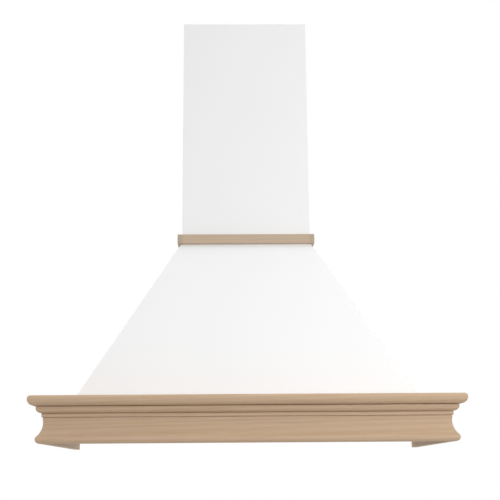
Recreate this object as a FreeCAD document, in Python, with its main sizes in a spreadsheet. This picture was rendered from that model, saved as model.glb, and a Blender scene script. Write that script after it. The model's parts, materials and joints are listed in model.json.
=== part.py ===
"""Wall range hood with a wooden cover, as a parametric document of separate pieces.

Frame: +X to the right as seen from the room, +Y into the wall, +Z up.
The wall is the plane Y = 0, so every depth d in this file is Y = -d.
Heights z are counted from the underside of the wooden base frame.
The document's origin lies on the wall, at the centre of the wall cleat's hole pattern.
"""
import FreeCAD, Part
import math
import os
import re
import Sketcher

from FreeCAD import Vector

# Driving dimensions in millimetres and degrees. Each one is a cell of the sheet, with its own alias.
SIZES = {
    # wooden base frame: a cap board with a thumbnail nose over a cove moulding
    "frame_width": 900.0,
    "frame_depth": 480.0,
    "cap_thick": 21.0,
    "cap_width": 110.0,
    "nose_arris": 7.0,
    "nose_round": 12.5,
    "cap_overhang": 15.5,
    "cove_height": 76.0,
    "cove_thick": 20.5,
    "fillet_height": 4.5,
    "ovolo_radius": 9.5,
    "band_quirk": 1.0,
    "band_height": 8.0,
    "cove_quirk": 1.5,
    "cove_centre_height": 42.0,
    "cove_foot_height": 15.0,
    "foot_inset": 0.5,
    "foot_radius": 8.5,
    "back_rail_thick": 18.0,
    "back_rail_height": 46.0,
    # white canopy
    "canopy_setback": 84.5,
    "canopy_height": 366.0,
    "canopy_panel": 10.0,
    "hip_batten": 28.0,
    "back_batten_width": 30.0,
    "back_batten_thick": 20.0,
    "neck_board_thick": 12.0,
    "neck_lip": 2.5,
    "duct_clearance": 6.0,
    # white chimney and its wooden collar
    "chimney_width": 299.0,
    "chimney_depth": 256.0,
    "chimney_height": 559.5,
    "chimney_panel": 9.0,
    "chimney_batten": 18.0,
    "collar_height": 22.0,
    "collar_thick": 10.5,
    "chimney_rail_height": 60.0,
    "chimney_rail_drop": 25.0,
    "chimney_hole_spacing": 180.0,
    # hanging: two bevelled cleats and the rail that ties them to the battens
    "cleat_height": 90.0,
    "cleat_length": 340.0,
    "cleat_lip_z": 318.0,
    "hanging_cleat_height": 82.0,
    "wall_hole_radius": 4.0,
    "wall_hole_spacing_x": 280.0,
    "wall_hole_spacing_z": 44.0,
    "wall_hole_drop": 35.0,
    "rail_height": 60.0,
    "rail_thick": 18.0,
    "rail_screw_x": 120.0,
    # sheet-metal liner under the cap boards
    "liner_gap": 0.5,
    "liner_sheet": 1.2,
    "liner_lip": 15.0,
    "liner_screw_side": 30.0,
    "liner_screw_front": 120.0,
    "liner_screw_corner": 103.5,
    "liner_screw_middle": 220.0,
    "liner_screw_rear": 22.0,
    # screws
    "screw_radius": 1.8,
    "screw_head_radius": 3.8,
    "screw_head": 2.4,
    "screw_length": 15.0,
    "screw_slack": 0.2,
    "pilot_slack": 0.05,
    "screw_socket": 1.5,
    "rail_screw_length": 32.0,
    "rail_screw_pilot": 16.0,
    # extractor case above the liner
    "case_half_width": 230.0,
    "case_rear": 34.0,
    "case_height": 165.0,
    "case_sheet": 1.2,
    "case_flange": 15.0,
    "case_screw_spacing": 400.0,
    # centrifugal blower
    "shaft_offset": 14.0,
    "shaft_height": 82.0,
    "volute_radius": 64.0,
    "volute_growth": 6.0,
    "blower_half": 48.0,
    "blower_wall": 2.0,
    "inlet_radius": 50.0,
    "impeller_radius": 58.0,
    "impeller_half": 42.0,
    "blade_inner_radius": 46.0,
    "blade_thick": 1.2,
    "blade_inset": 0.8,
    "blade_count": 24,
    "impeller_ring": 2.0,
    "hub_thick": 3.0,
    "hub_boss_radius": 9.0,
    "hub_boss_length": 7.0,
    "shaft_radius": 4.0,
    "shaft_slack": 0.05,
    "shaft_in_motor": 20.0,
    "shaft_end_gap": 1.0,
    "motor_radius": 36.0,
    "motor_gap": 2.0,
    "motor_end_radius": 24.0,
    "motor_end_length": 12.0,
    "bracket_thick": 2.5,
    "bracket_hub_radius": 38.0,
    "bracket_arm_width": 16.0,
    "bracket_reach": 58.0,
    # duct spigot with two non-return flaps
    "spigot_radius": 73.5,
    "spigot_wall": 2.0,
    "spigot_height": 50.0,
    "spigot_flange": 10.0,
    "flap_height": 22.0,
    "flap_sheet": 1.2,
    "flap_gap": 0.5,
    "flap_rod_radius": 1.6,
    "flap_rod_slack": 0.08,
    "flap_rod_offset": 2.2,
    "flap_seat": 2.5,
    # grease filters
    "filter_thick": 9.0,
    "filter_border": 22.0,
    "filter_gap": 4.0,
    "filter_drop": 0.3,
    "filter_overlap": 6.0,
    "filter_tab_thick": 1.2,
    "filter_tab_width": 16.0,
    "filter_tab_reach": 7.0,
    "filter_tab_gap": 4.0,
    "filter_tab_spacing": 120.0,
    "filter_slot_half": 3.2,
    "mesh_thick": 5.0,
    "mesh_gap_width": 7.0,
    "mesh_edge": 6.0,
    "latch_width": 30.0,
    "latch_travel": 5.0,
    "latch_stem": 4.0,
    "latch_slack": 0.2,
    "latch_plate": 2.4,
    # strip of liner in front of the case, with the lamps and the controls in one row
    "control_strip": 81.0,
    "lamp_inset": 50.0,
    "lamp_row": 42.0,
    "lamp_flange_radius": 32.0,
    "lamp_flange": 2.0,
    "lamp_can_radius": 27.5,
    "lamp_can_height": 26.0,
    "lamp_lens_radius": 24.0,
    "lamp_lens_thick": 3.0,
    "lamp_wall": 1.5,
    # controls
    "panel_width": 160.0,
    "panel_depth": 36.0,
    "panel_thick": 3.0,
    "panel_margin_x": 6.0,
    "panel_margin_y": 4.0,
    "housing_height": 22.0,
    "housing_wall": 2.0,
    "button_radius": 6.0,
    "button_pitch": 26.0,
    "button_proud": 3.0,
    "button_travel": 2.5,
    "button_flange": 1.4,
    "button_slack": 0.3,
    # electrical connection
    "terminal_thick": 30.0,
    "terminal_depth": 70.0,
    "terminal_height": 56.0,
    "terminal_wall": 2.0,
    "terminal_rise": 45.0,
    "gland_radius": 9.0,
    "gland_bore": 4.2,
    "gland_length": 18.0,
}

# Places and sizes worked out from the driving dimensions.
FORMULAS = {
    "half_width": "frame_width / 2",
    "frame_height": "cove_height + cap_thick",
    "moulding_inner": "cap_overhang + cove_thick",
    "inner_half": "half_width - moulding_inner",
    "inner_depth": "frame_depth - moulding_inner",
    "base_half": "half_width - canopy_setback",
    "base_depth": "frame_depth - canopy_setback",
    "neck_z": "frame_height + canopy_height",
    "neck_half": "chimney_width / 2 + neck_lip",
    "neck_depth": "chimney_depth + neck_lip",
    "side_run": "(base_half - neck_half) / canopy_height",
    "front_run": "(base_depth - neck_depth) / canopy_height",
    "side_wall": "canopy_panel * sqrt(1 + side_run ^ 2)",
    "front_wall": "canopy_panel * sqrt(1 + front_run ^ 2)",
    "neck_board_z": "neck_z - neck_board_thick",
    "chimney_half": "chimney_width / 2",
    "chimney_top": "neck_z + chimney_height",
    "case_base": "cove_height + case_sheet",
    "case_depth": "frame_depth - cap_width - control_strip - case_flange - case_rear",
    "case_top": "cove_height + case_height",
    "case_front": "case_rear + case_depth",
    "shaft_depth": "case_rear + case_depth / 2 + shaft_offset",
    "shaft_z": "cove_height + shaft_height",
    "volute_end": "volute_radius + 3 * volute_growth",
    "duct_depth": "shaft_depth - volute_end / 2",
    "duct_hole": "spigot_radius + duct_clearance",
    "wall_hole_centre_z": "cleat_lip_z - wall_hole_drop",
    "origin_height": "wall_hole_centre_z",
    "rail_top": "cleat_lip_z + hanging_cleat_height",
    "rail_bottom": "rail_top - rail_height",
    "liner_z": "cove_height - liner_sheet",
    "liner_half": "inner_half - liner_gap",
    "liner_front": "inner_depth - liner_gap",
    "liner_back": "back_rail_thick + liner_gap",
    "liner_screw_outer": "liner_half - liner_screw_corner",
    "lamp_x": "half_width - cap_width - lamp_inset",
    "lamp_depth": "frame_depth - cap_width - lamp_row",
    "filter_top": "liner_z - filter_drop",
    "filter_bottom": "filter_top - filter_thick",
    "filter_hinge_depth": "case_rear + case_sheet + filter_tab_reach + filter_tab_gap",
    "filter_rear": "filter_hinge_depth + filter_tab_thick / 2",
    "filter_front": "case_front - case_sheet",
    "filter_length": "filter_front - filter_rear",
    "filter_inner_x": "filter_gap / 2",
    "filter_outer_x": "case_half_width - case_sheet",
    "filter_middle_x": "(filter_inner_x + filter_outer_x) / 2",
    "opening_half": "filter_outer_x - filter_overlap",
    "opening_rear": "filter_rear + filter_overlap",
    "opening_front": "filter_front - filter_overlap",
    "latch_depth": "opening_front - latch_travel - latch_stem - 2 * latch_slack",
    "duct_base": "case_top",
    "flap_z": "duct_base + flap_height",
    "spigot_bore": "spigot_radius - spigot_wall",
    "flap_radius": "spigot_bore - flap_gap",
    "housing_half": "panel_width / 2 - panel_margin_x",
    "housing_depth_half": "panel_depth / 2 - panel_margin_y",
    "panel_z": "liner_z - panel_thick",
    "button_bottom": "panel_z - button_proud",
    "terminal_x": "case_half_width + terminal_thick",
    "terminal_z": "cove_height + terminal_rise",
    "terminal_rear": "duct_depth - terminal_depth / 2",
}

doc = FreeCAD.newDocument("RangeHood")
sheet = doc.addObject("Spreadsheet::Sheet", "Sizes")
for row, (alias, size) in enumerate(SIZES.items(), start=1):
    sheet.set("A%d" % row, alias)
    sheet.set("B%d" % row, "%g" % size)
    sheet.setAlias("B%d" % row, alias)
doc.recompute()

NODES = []
CUTS = []


def bind(text):
    """An expression in which each size is a cell of the sheet and each formula is written out."""
    def replace(match):
        name = match.group()
        if name in FORMULAS:
            return "(" + bind(FORMULAS[name]) + ")"
        if name in SIZES:
            return "Sizes." + name
        return name
    return re.sub(r"[a-z][a-z_0-9]*", replace, text)


def number(text):
    """The present value of an expression."""
    return float(sheet.evalExpression(bind(text)))


def is_driven(text):
    """Whether an expression depends on a size."""
    return "Sizes." in bind(text)


def set_driven(target, path, text):
    """Bind a property to an expression."""
    target.setExpression(path, bind(text))


def new_body(label, x="0", depth="0", z="0"):
    """A body whose placement is bound: x to the right, depth from the wall, z from the base's underside."""
    body = doc.addObject("PartDesign::Body", label)
    body.Label = label
    set_driven(body, "Placement.Base.x", x)
    set_driven(body, "Placement.Base.y", "-(" + depth + ")")
    set_driven(body, "Placement.Base.z", z + " - origin_height")
    NODES.append(body)
    return body


def new_sketch(body, plane, level="0"):
    """A sketch on one of the body's own origin planes, shifted along that plane's normal.

    XY: x to the right, y into the wall, normal up. XZ: x to the right, y up, normal to the room.
    YZ: x into the wall, y up, normal to the right.
    """
    sketch = body.newObject("Sketcher::SketchObject", body.Label + "_sketch")
    support = [plane_item for plane_item in body.Origin.OriginFeatures if plane_item.Role == plane + "_Plane"]
    sketch.AttachmentSupport = [(support[0], "")]
    sketch.MapMode = "FlatFace"
    set_driven(sketch, "AttachmentOffset.Base.z", level)
    return sketch


def hold(sketch, kind, geometry, position, text):
    """A distance constraint from the sketch's origin, bound to its expression."""
    index = sketch.addConstraint(Sketcher.Constraint(kind, -1, 1, geometry, position, number(text)))
    if is_driven(text):
        set_driven(sketch, "Constraints[%d]" % index, text)


def arc_centre(first, second, axis, along):
    """The centre of an arc through two points, one of whose coordinates is given."""
    (x0, y0), (x1, y1) = first, second
    if axis == "x":
        return along, ((x0 - along) ** 2 - (x1 - along) ** 2 + y0 ** 2 - y1 ** 2) / (2 * (y0 - y1))
    return ((y0 - along) ** 2 - (y1 - along) ** 2 + x0 ** 2 - x1 ** 2) / (2 * (x0 - x1)), along


def outline(sketch, corners, arcs=None):
    """A closed outline through corners (pairs of expressions).

    arcs maps a corner's index to (turn, axis, expression): the stretch from that corner to the next
    is then an arc, turning "left" or "right", whose centre has the given x or y.
    """
    arcs = arcs or {}
    points = [(number(x), number(y)) for x, y in corners]
    first = sketch.GeometryCount
    ends = []
    for index, start in enumerate(points):
        stop = points[(index + 1) % len(points)]
        if index not in arcs:
            sketch.addGeometry(Part.LineSegment(Vector(*start, 0), Vector(*stop, 0)))
            ends.append((1, 2))
            continue
        turn, axis, along = arcs[index]
        centre = arc_centre(start, stop, axis, number(along))
        begin, finish = (start, stop) if turn == "left" else (stop, start)
        angles = [math.atan2(point[1] - centre[1], point[0] - centre[0]) for point in (begin, finish)]
        circle = Part.Circle(Vector(*centre, 0), Vector(0, 0, 1), math.dist(centre, start))
        sketch.addGeometry(Part.ArcOfCircle(circle, *angles))
        ends.append((1, 2) if turn == "left" else (2, 1))
    count = len(points)
    for index in range(count):
        following = (index + 1) % count
        joint = Sketcher.Constraint("Coincident", first + index, ends[index][1],
                                    first + following, ends[following][0])
        sketch.addConstraint(joint)
    for index, (x, y) in enumerate(corners):
        hold(sketch, "DistanceX", first + index, ends[index][0], x)
        hold(sketch, "DistanceY", first + index, ends[index][0], y)
    for index, (_, axis, along) in arcs.items():
        hold(sketch, "DistanceX" if axis == "x" else "DistanceY", first + index, 3, along)


def rectangle(sketch, left, right, low, high):
    """A closed rectangle between four expressions."""
    outline(sketch, [(left, low), (right, low), (right, high), (left, high)])


def circle(sketch, x, y, radius):
    """A circle with a bound centre and radius."""
    index = sketch.addGeometry(Part.Circle(Vector(number(x), number(y), 0), Vector(0, 0, 1), number(radius)))
    hold(sketch, "DistanceX", index, 3, x)
    hold(sketch, "DistanceY", index, 3, y)
    bound = sketch.addConstraint(Sketcher.Constraint("Radius", index, number(radius)))
    set_driven(sketch, "Constraints[%d]" % bound, radius)


def pad(body, sketch, length):
    """Material along the sketch's normal."""
    feature = body.newObject("PartDesign::Pad", body.Label + "_pad")
    feature.Profile = sketch
    set_driven(feature, "Length", length)
    return feature


def cut(body, sketch, length):
    """A pocket along the sketch's normal."""
    feature = body.newObject("PartDesign::Pocket", body.Label + "_pocket")
    feature.Profile = sketch
    feature.Reversed = True
    set_driven(feature, "Length", length)
    CUTS.append(feature)
    return feature


def slab(body, left, right, rear, front, low, high):
    """A box of material between six expressions, in the body's own frame; rear and front are depths."""
    sketch = new_sketch(body, "XY", low)
    rectangle(sketch, left, right, "-(%s)" % front, "-(%s)" % rear)
    return pad(body, sketch, "(%s) - (%s)" % (high, low))


def hollow(body, left, right, rear, front, low, high):
    """A box cut away between six expressions, in the body's own frame."""
    sketch = new_sketch(body, "XY", low)
    rectangle(sketch, left, right, "-(%s)" % front, "-(%s)" % rear)
    return cut(body, sketch, "(%s) - (%s)" % (high, low))


def disc(body, x, depth, radius, low, high):
    """An upright cylinder of material."""
    sketch = new_sketch(body, "XY", low)
    circle(sketch, x, "-(%s)" % depth, radius)
    return pad(body, sketch, "(%s) - (%s)" % (high, low))


def bore(body, x, depth, radius, low, high):
    """An upright round hole."""
    sketch = new_sketch(body, "XY", low)
    circle(sketch, x, "-(%s)" % depth, radius)
    return cut(body, sketch, "(%s) - (%s)" % (high, low))


def tapered(label, plan, low, high):
    """A ruled loft between the same plan at two heights. plan(z) gives corners as (x, depth) pairs."""
    body = new_body(label)
    sections = []
    for level in (low, high):
        sketch = new_sketch(body, "XY", level)
        outline(sketch, [(x, "-(%s)" % depth) for x, depth in plan(level)])
        sections.append(sketch)
    feature = body.newObject("PartDesign::AdditiveLoft", label + "_loft")
    feature.Profile = sections[0]
    feature.Sections = sections[1:]
    feature.Ruled = True
    return body


def signed(side, text):
    """The expression on the right (side 1) or mirrored to the left (side -1)."""
    return text if side > 0 else "-(%s)" % text


def span(side, near, far):
    """Left and right limits of a stretch from near to far, on the right or mirrored to the left."""
    return (near, far) if side > 0 else (signed(side, far), signed(side, near))


SIDES = (("left", -1), ("right", 1))


# ---------------------------------------------------------------- wooden base frame

def cap_profile(inset):
    """Cap board section. inset(u) turns a distance from the nose into the sketch's x."""
    corners = [
        (inset("nose_round"), "cove_height"),
        (inset("0"), "cove_height + nose_round"),
        (inset("0"), "frame_height - nose_arris"),
        (inset("nose_arris"), "frame_height"),
        (inset("cap_width"), "frame_height"),
        (inset("cap_width"), "cove_height"),
    ]
    arcs = {0: ("x", inset("nose_round")), 2: ("x", inset("nose_arris"))}
    return corners, arcs


def cove_profile(inset):
    """Cove moulding section: fillet, ovolo, band, hollow and rounded foot, counted from the nose."""
    ovolo_low = "cove_height - fillet_height - ovolo_radius"
    band_low = ovolo_low + " - band_height"
    band_inset = "cap_overhang + ovolo_radius + band_quirk"
    foot_centre = "cap_overhang + foot_inset + foot_radius"
    foot_top = foot_centre + " - sqrt(foot_radius ^ 2 - (cove_foot_height - foot_radius) ^ 2)"
    corners = [
        (inset(foot_centre), "0"),
        (inset("cap_overhang + foot_inset"), "foot_radius"),
        (inset(foot_top), "cove_foot_height"),
        (inset(band_inset + " + cove_quirk"), band_low),
        (inset(band_inset), band_low),
        (inset(band_inset), ovolo_low),
        (inset("cap_overhang + ovolo_radius"), ovolo_low),
        (inset("cap_overhang"), "cove_height - fillet_height"),
        (inset("cap_overhang"), "cove_height"),
        (inset("moulding_inner"), "cove_height"),
        (inset("moulding_inner"), "0"),
    ]
    arcs = {
        0: ("x", inset(foot_centre)),
        1: ("x", inset(foot_centre)),
        2: ("y", "cove_centre_height"),
        6: ("x", inset("cap_overhang + ovolo_radius")),
    }
    return corners, arcs


# Turn of each arc of the two sections, seen with the nose on the left of the sketch.
CAP_TURNS = {0: "right", 2: "right"}
COVE_TURNS = {0: "right", 1: "right", 2: "left", 6: "right"}
OPPOSITE = {"left": "right", "right": "left"}


def mitre(body, corners):
    """Cut away everything beyond a mitre, through the full height."""
    sketch = new_sketch(body, "XY", "-1")
    outline(sketch, corners)
    cut(body, sketch, "frame_height + 2")


def moulding_front(label, profile, turns, inner):
    """A front member: its section runs from corner to corner, cut to 45 degrees at both ends."""
    body = new_body(label)
    corners, arcs = profile(lambda u: "-frame_depth + (%s)" % u)
    sketch = new_sketch(body, "YZ", "-half_width")
    outline(sketch, corners, {i: (turns[i],) + arc for i, arc in arcs.items()})
    pad(body, sketch, "frame_width")
    for _, side in SIDES:
        mitre(body, [
            (signed(side, "half_width"), "-frame_depth"),
            (signed(side, "half_width + 1"), "-frame_depth"),
            (signed(side, "half_width + 1"), "-frame_depth + (%s) + 1" % inner),
            (signed(side, "half_width - (%s) - 1" % inner), "-frame_depth + (%s) + 1" % inner),
        ])
    return body


def moulding_side(label, side, profile, turns, inner):
    """A side member: its section runs from the wall to the front corner, mitred there."""
    body = new_body(label)
    corners, arcs = profile(lambda u: signed(side, "half_width - (%s)" % u))
    facing = turns if side < 0 else {i: OPPOSITE[turn] for i, turn in turns.items()}
    sketch = new_sketch(body, "XZ")
    outline(sketch, corners, {i: (facing[i],) + arc for i, arc in arcs.items()})
    pad(body, sketch, "frame_depth")
    mitre(body, [
        (signed(side, "half_width"), "-frame_depth"),
        (signed(side, "half_width"), "-frame_depth - 1"),
        (signed(side, "half_width - (%s) - 1" % inner), "-frame_depth - 1"),
        (signed(side, "half_width - (%s) - 1" % inner), "-frame_depth + (%s) + 1" % inner),
    ])
    return body


def front_screw_places():
    """Screws up through the liner into the front cap board: (x, depth)."""
    depth = "liner_front - liner_screw_side"
    return [(signed(side, x), depth) for _, side in SIDES for x in ("liner_screw_front", "liner_screw_outer")]


def side_screw_places(side):
    """Screws up through the liner into one side's cap board: (x, depth)."""
    x = signed(side, "liner_half - liner_screw_side")
    return [(x, "liner_screw_middle"), (x, "liner_back + liner_screw_rear")]


def liner_screw_places():
    """All the screws that hold the liner: (x, depth)."""
    return front_screw_places() + side_screw_places(-1) + side_screw_places(1)


def drill_pilots(body, places):
    """Pilot holes from below into a cap board."""
    sketch = new_sketch(body, "XY", "cove_height")
    for x, depth in places:
        circle(sketch, x, "-(%s)" % depth, "screw_radius + pilot_slack")
    cut(body, sketch, "screw_length")


def build_base_frame():
    """Cap boards, cove mouldings and the back rail."""
    front = moulding_front("cap_board_front", cap_profile, CAP_TURNS, "cap_width")
    drill_pilots(front, front_screw_places())
    for name, side in SIDES:
        board = moulding_side("cap_board_" + name, side, cap_profile, CAP_TURNS, "cap_width")
        drill_pilots(board, side_screw_places(side))
    moulding_front("cove_moulding_front", cove_profile, COVE_TURNS, "moulding_inner")
    for name, side in SIDES:
        moulding_side("cove_moulding_" + name, side, cove_profile, COVE_TURNS, "moulding_inner")
    rail = new_body("base_back_rail")
    slab(rail, "-inner_half", "inner_half", "0", "back_rail_thick",
         "cove_height - back_rail_height", "cove_height")


# ---------------------------------------------------------------- canopy and chimney

def half_at(z):
    """Half width of the canopy's outside at height z."""
    return "base_half - side_run * ((%s) - frame_height)" % z


def depth_at(z):
    """Depth of the canopy's outside at height z."""
    return "base_depth - front_run * ((%s) - frame_height)" % z


def inner_half_at(z):
    """Half width of the canopy's inside at height z."""
    return half_at(z) + " - side_wall"


def inner_depth_at(z):
    """Depth of the canopy's inside at height z."""
    return depth_at(z) + " - front_wall"


def build_canopy():
    """Three mitred panels, the battens behind their joints and the board in the neck."""
    tapered("canopy_front", lambda z: [
        ("-(%s)" % half_at(z), depth_at(z)),
        (half_at(z), depth_at(z)),
        (inner_half_at(z), inner_depth_at(z)),
        ("-(%s)" % inner_half_at(z), inner_depth_at(z)),
    ], "frame_height", "neck_z")
    for name, side in SIDES:
        tapered("canopy_" + name, lambda z: [
            (signed(side, half_at(z)), "0"),
            (signed(side, half_at(z)), depth_at(z)),
            (signed(side, inner_half_at(z)), inner_depth_at(z)),
            (signed(side, inner_half_at(z)), "0"),
        ], "frame_height", "neck_z")
        tapered("hip_batten_" + name, lambda z: [
            (signed(side, inner_half_at(z)), inner_depth_at(z)),
            (signed(side, inner_half_at(z) + " - hip_batten"), inner_depth_at(z)),
            (signed(side, inner_half_at(z)), inner_depth_at(z) + " - hip_batten"),
        ], "frame_height", "neck_board_z")
        tapered("back_batten_" + name, lambda z: [
            (signed(side, inner_half_at(z)), "0"),
            (signed(side, inner_half_at(z)), "back_batten_thick"),
            (signed(side, inner_half_at(z) + " - back_batten_width"), "back_batten_thick"),
            (signed(side, inner_half_at(z) + " - back_batten_width"), "0"),
        ], "frame_height", "neck_board_z")
    board = tapered("neck_board", lambda z: [
        ("-(%s)" % inner_half_at(z), "0"),
        (inner_half_at(z), "0"),
        (inner_half_at(z), inner_depth_at(z)),
        ("-(%s)" % inner_half_at(z), inner_depth_at(z)),
    ], "neck_board_z", "neck_z")
    bore(board, "0", "duct_depth", "duct_hole", "neck_board_z", "neck_z")


def build_chimney():
    """Three mitred panels, the corner battens, the rear rail and the wooden collar, butted at its corners."""
    inner = "chimney_half - chimney_panel"
    inner_front = "chimney_depth - chimney_panel"
    front = new_body("chimney_front")
    sketch = new_sketch(front, "XY", "neck_z")
    outline(sketch, [("-chimney_half", "-chimney_depth"), ("chimney_half", "-chimney_depth"),
                     (inner, "-(%s)" % inner_front), ("-(%s)" % inner, "-(%s)" % inner_front)])
    pad(front, sketch, "chimney_height")
    for name, side in SIDES:
        panel = new_body("chimney_" + name)
        sketch = new_sketch(panel, "XY", "neck_z")
        outline(sketch, [(signed(side, "chimney_half"), "0"), (signed(side, "chimney_half"), "-chimney_depth"),
                         (signed(side, inner), "-(%s)" % inner_front), (signed(side, inner), "0")])
        pad(panel, sketch, "chimney_height")
        batten = new_body("chimney_batten_" + name)
        left, right = span(side, inner + " - chimney_batten", inner)
        slab(batten, left, right, inner_front + " - chimney_batten", inner_front,
             "neck_z", "chimney_top - chimney_rail_drop")
    rail = new_body("chimney_back_rail")
    slab(rail, "-(%s)" % inner, inner, "0", "back_rail_thick",
         "chimney_top - chimney_rail_drop - chimney_rail_height", "chimney_top - chimney_rail_drop")
    sketch = new_sketch(rail, "XZ")
    for _, side in SIDES:
        circle(sketch, signed(side, "chimney_hole_spacing / 2"),
               "chimney_top - chimney_rail_drop - chimney_rail_height / 2", "wall_hole_radius")
    cut(rail, sketch, "back_rail_thick")

    outer = "chimney_half + collar_thick"
    outer_front = "chimney_depth + collar_thick"
    slab(new_body("collar_front"), "-chimney_half", "chimney_half", "chimney_depth", outer_front,
         "neck_z", "neck_z + collar_height")
    for name, side in SIDES:
        left, right = span(side, "chimney_half", outer)
        slab(new_body("collar_" + name), left, right, "0", outer_front, "neck_z", "neck_z + collar_height")


# ---------------------------------------------------------------- hanging on the wall

def bevel(body, low):
    """Cut the 45 degree hook: the low edge on the wall side, rising towards the room."""
    sketch = new_sketch(body, "YZ", "-half_width")
    if low:
        outline(sketch, [("0", "cleat_lip_z"), ("-back_batten_thick", "cleat_lip_z + back_batten_thick"),
                         ("-back_batten_thick - 1", "cleat_lip_z + back_batten_thick"),
                         ("-back_batten_thick - 1", "cleat_lip_z - 1"), ("0", "cleat_lip_z - 1")])
    else:
        outline(sketch, [("0", "cleat_lip_z"), ("-back_batten_thick", "cleat_lip_z + back_batten_thick"),
                         ("0", "cleat_lip_z + back_batten_thick")])
    cut(body, sketch, "frame_width")


def rail_screw_places():
    """Screws through the rail: (x, z). The outer pair reaches the battens, the inner one the cleat."""
    middle = "(rail_top + rail_bottom) / 2"
    batten = inner_half_at(middle) + " - back_batten_width / 2"
    places = []
    for _, side in SIDES:
        places.append((signed(side, batten), middle))
        places.append((signed(side, "rail_screw_x / 2"), middle))
    return places


def build_hanging():
    """Wall cleat, hanging cleat, the rail that ties it to the battens, and the rail's screws."""
    wall_cleat = new_body("wall_cleat")
    slab(wall_cleat, "-cleat_length / 2", "cleat_length / 2", "0", "back_batten_thick",
         "cleat_lip_z + back_batten_thick - cleat_height", "cleat_lip_z + back_batten_thick")
    bevel(wall_cleat, low=False)
    sketch = new_sketch(wall_cleat, "XZ")
    for _, side in SIDES:
        for _, rise in SIDES:
            circle(sketch, signed(side, "wall_hole_spacing_x / 2"),
                   "wall_hole_centre_z + (%s)" % signed(rise, "wall_hole_spacing_z / 2"), "wall_hole_radius")
    cut(wall_cleat, sketch, "back_batten_thick")

    places = rail_screw_places()
    pilot = "screw_radius + pilot_slack"
    inside = " - back_batten_width"
    cleat = new_body("hanging_cleat")
    sketch = new_sketch(cleat, "XZ")
    outline(sketch, [
        ("-(%s)" % (inner_half_at("cleat_lip_z") + inside), "cleat_lip_z"),
        (inner_half_at("cleat_lip_z") + inside, "cleat_lip_z"),
        (inner_half_at("rail_top") + inside, "rail_top"),
        ("-(%s)" % (inner_half_at("rail_top") + inside), "rail_top"),
    ])
    pad(cleat, sketch, "back_batten_thick")
    bevel(cleat, low=True)
    sketch = new_sketch(cleat, "XZ", "back_batten_thick - rail_screw_pilot")
    for x, z in (places[1], places[3]):
        circle(sketch, x, z, pilot)
    cut(cleat, sketch, "rail_screw_pilot")
    battens = [item for item in NODES if item.Label in ("back_batten_left", "back_batten_right")]
    for batten, (x, z) in zip(battens, (places[0], places[2])):
        sketch = new_sketch(batten, "XZ", "back_batten_thick - rail_screw_pilot")
        circle(sketch, x, z, pilot)
        cut(batten, sketch, "rail_screw_pilot")

    rail = new_body("hanging_rail")
    sketch = new_sketch(rail, "XZ", "back_batten_thick")
    outline(sketch, [
        ("-(%s)" % inner_half_at("rail_bottom"), "rail_bottom"),
        (inner_half_at("rail_bottom"), "rail_bottom"),
        (inner_half_at("rail_top"), "rail_top"),
        ("-(%s)" % inner_half_at("rail_top"), "rail_top"),
    ])
    pad(rail, sketch, "rail_thick")
    sketch = new_sketch(rail, "XZ", "back_batten_thick")
    for x, z in places:
        circle(sketch, x, z, "screw_radius + screw_slack")
    cut(rail, sketch, "rail_thick")

    face = "back_batten_thick + rail_thick"
    screws = new_body("rail_screws")
    screws.AllowCompound = True
    screw_set(screws, "XZ", places, face, "-1", "rail_screw_length")


def screw_set(body, plane, places, seat, head_side, length):
    """Pan-head screws with a hexagon socket, one solid each.

    seat is the level under the heads along the plane's normal. head_side is "1" where the heads lie
    below that level and the shanks point along the normal, "-1" where it is the other way round.
    """
    below = head_side == "1"
    shank_level = seat if below else "(%s) - (%s)" % (seat, length)
    head_level = "(%s) - screw_head" % seat if below else seat
    sketch = new_sketch(body, plane, shank_level)
    for x, y in places:
        circle(sketch, x, y, "screw_radius")
    pad(body, sketch, length)
    sketch = new_sketch(body, plane, head_level)
    for x, y in places:
        circle(sketch, x, y, "screw_head_radius")
    pad(body, sketch, "screw_head")
    socket_level = head_level if below else "(%s) + screw_head / 2" % seat
    sketch = new_sketch(body, plane, socket_level)
    for x, y in places:
        hexagon(sketch, x, y, "screw_socket")
    cut(body, sketch, "screw_head / 2")


def hexagon(sketch, x, y, radius):
    """A regular hexagon about a bound centre."""
    corners = []
    for step in range(6):
        corners.append(("(%s) + (%s) * cos(%d)" % (x, radius, 60 * step),
                        "(%s) + (%s) * sin(%d)" % (y, radius, 60 * step)))
    outline(sketch, corners)


# ---------------------------------------------------------------- liner and extractor case

def case_screw_places():
    """Screws up through the liner into the case's flange: (x, depth)."""
    rear = "case_rear - case_flange / 2"
    front = "case_front + case_flange / 2"
    half = "case_screw_spacing / 2"
    return [(signed(side, half), depth) for _, side in SIDES for depth in (rear, front)]


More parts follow.
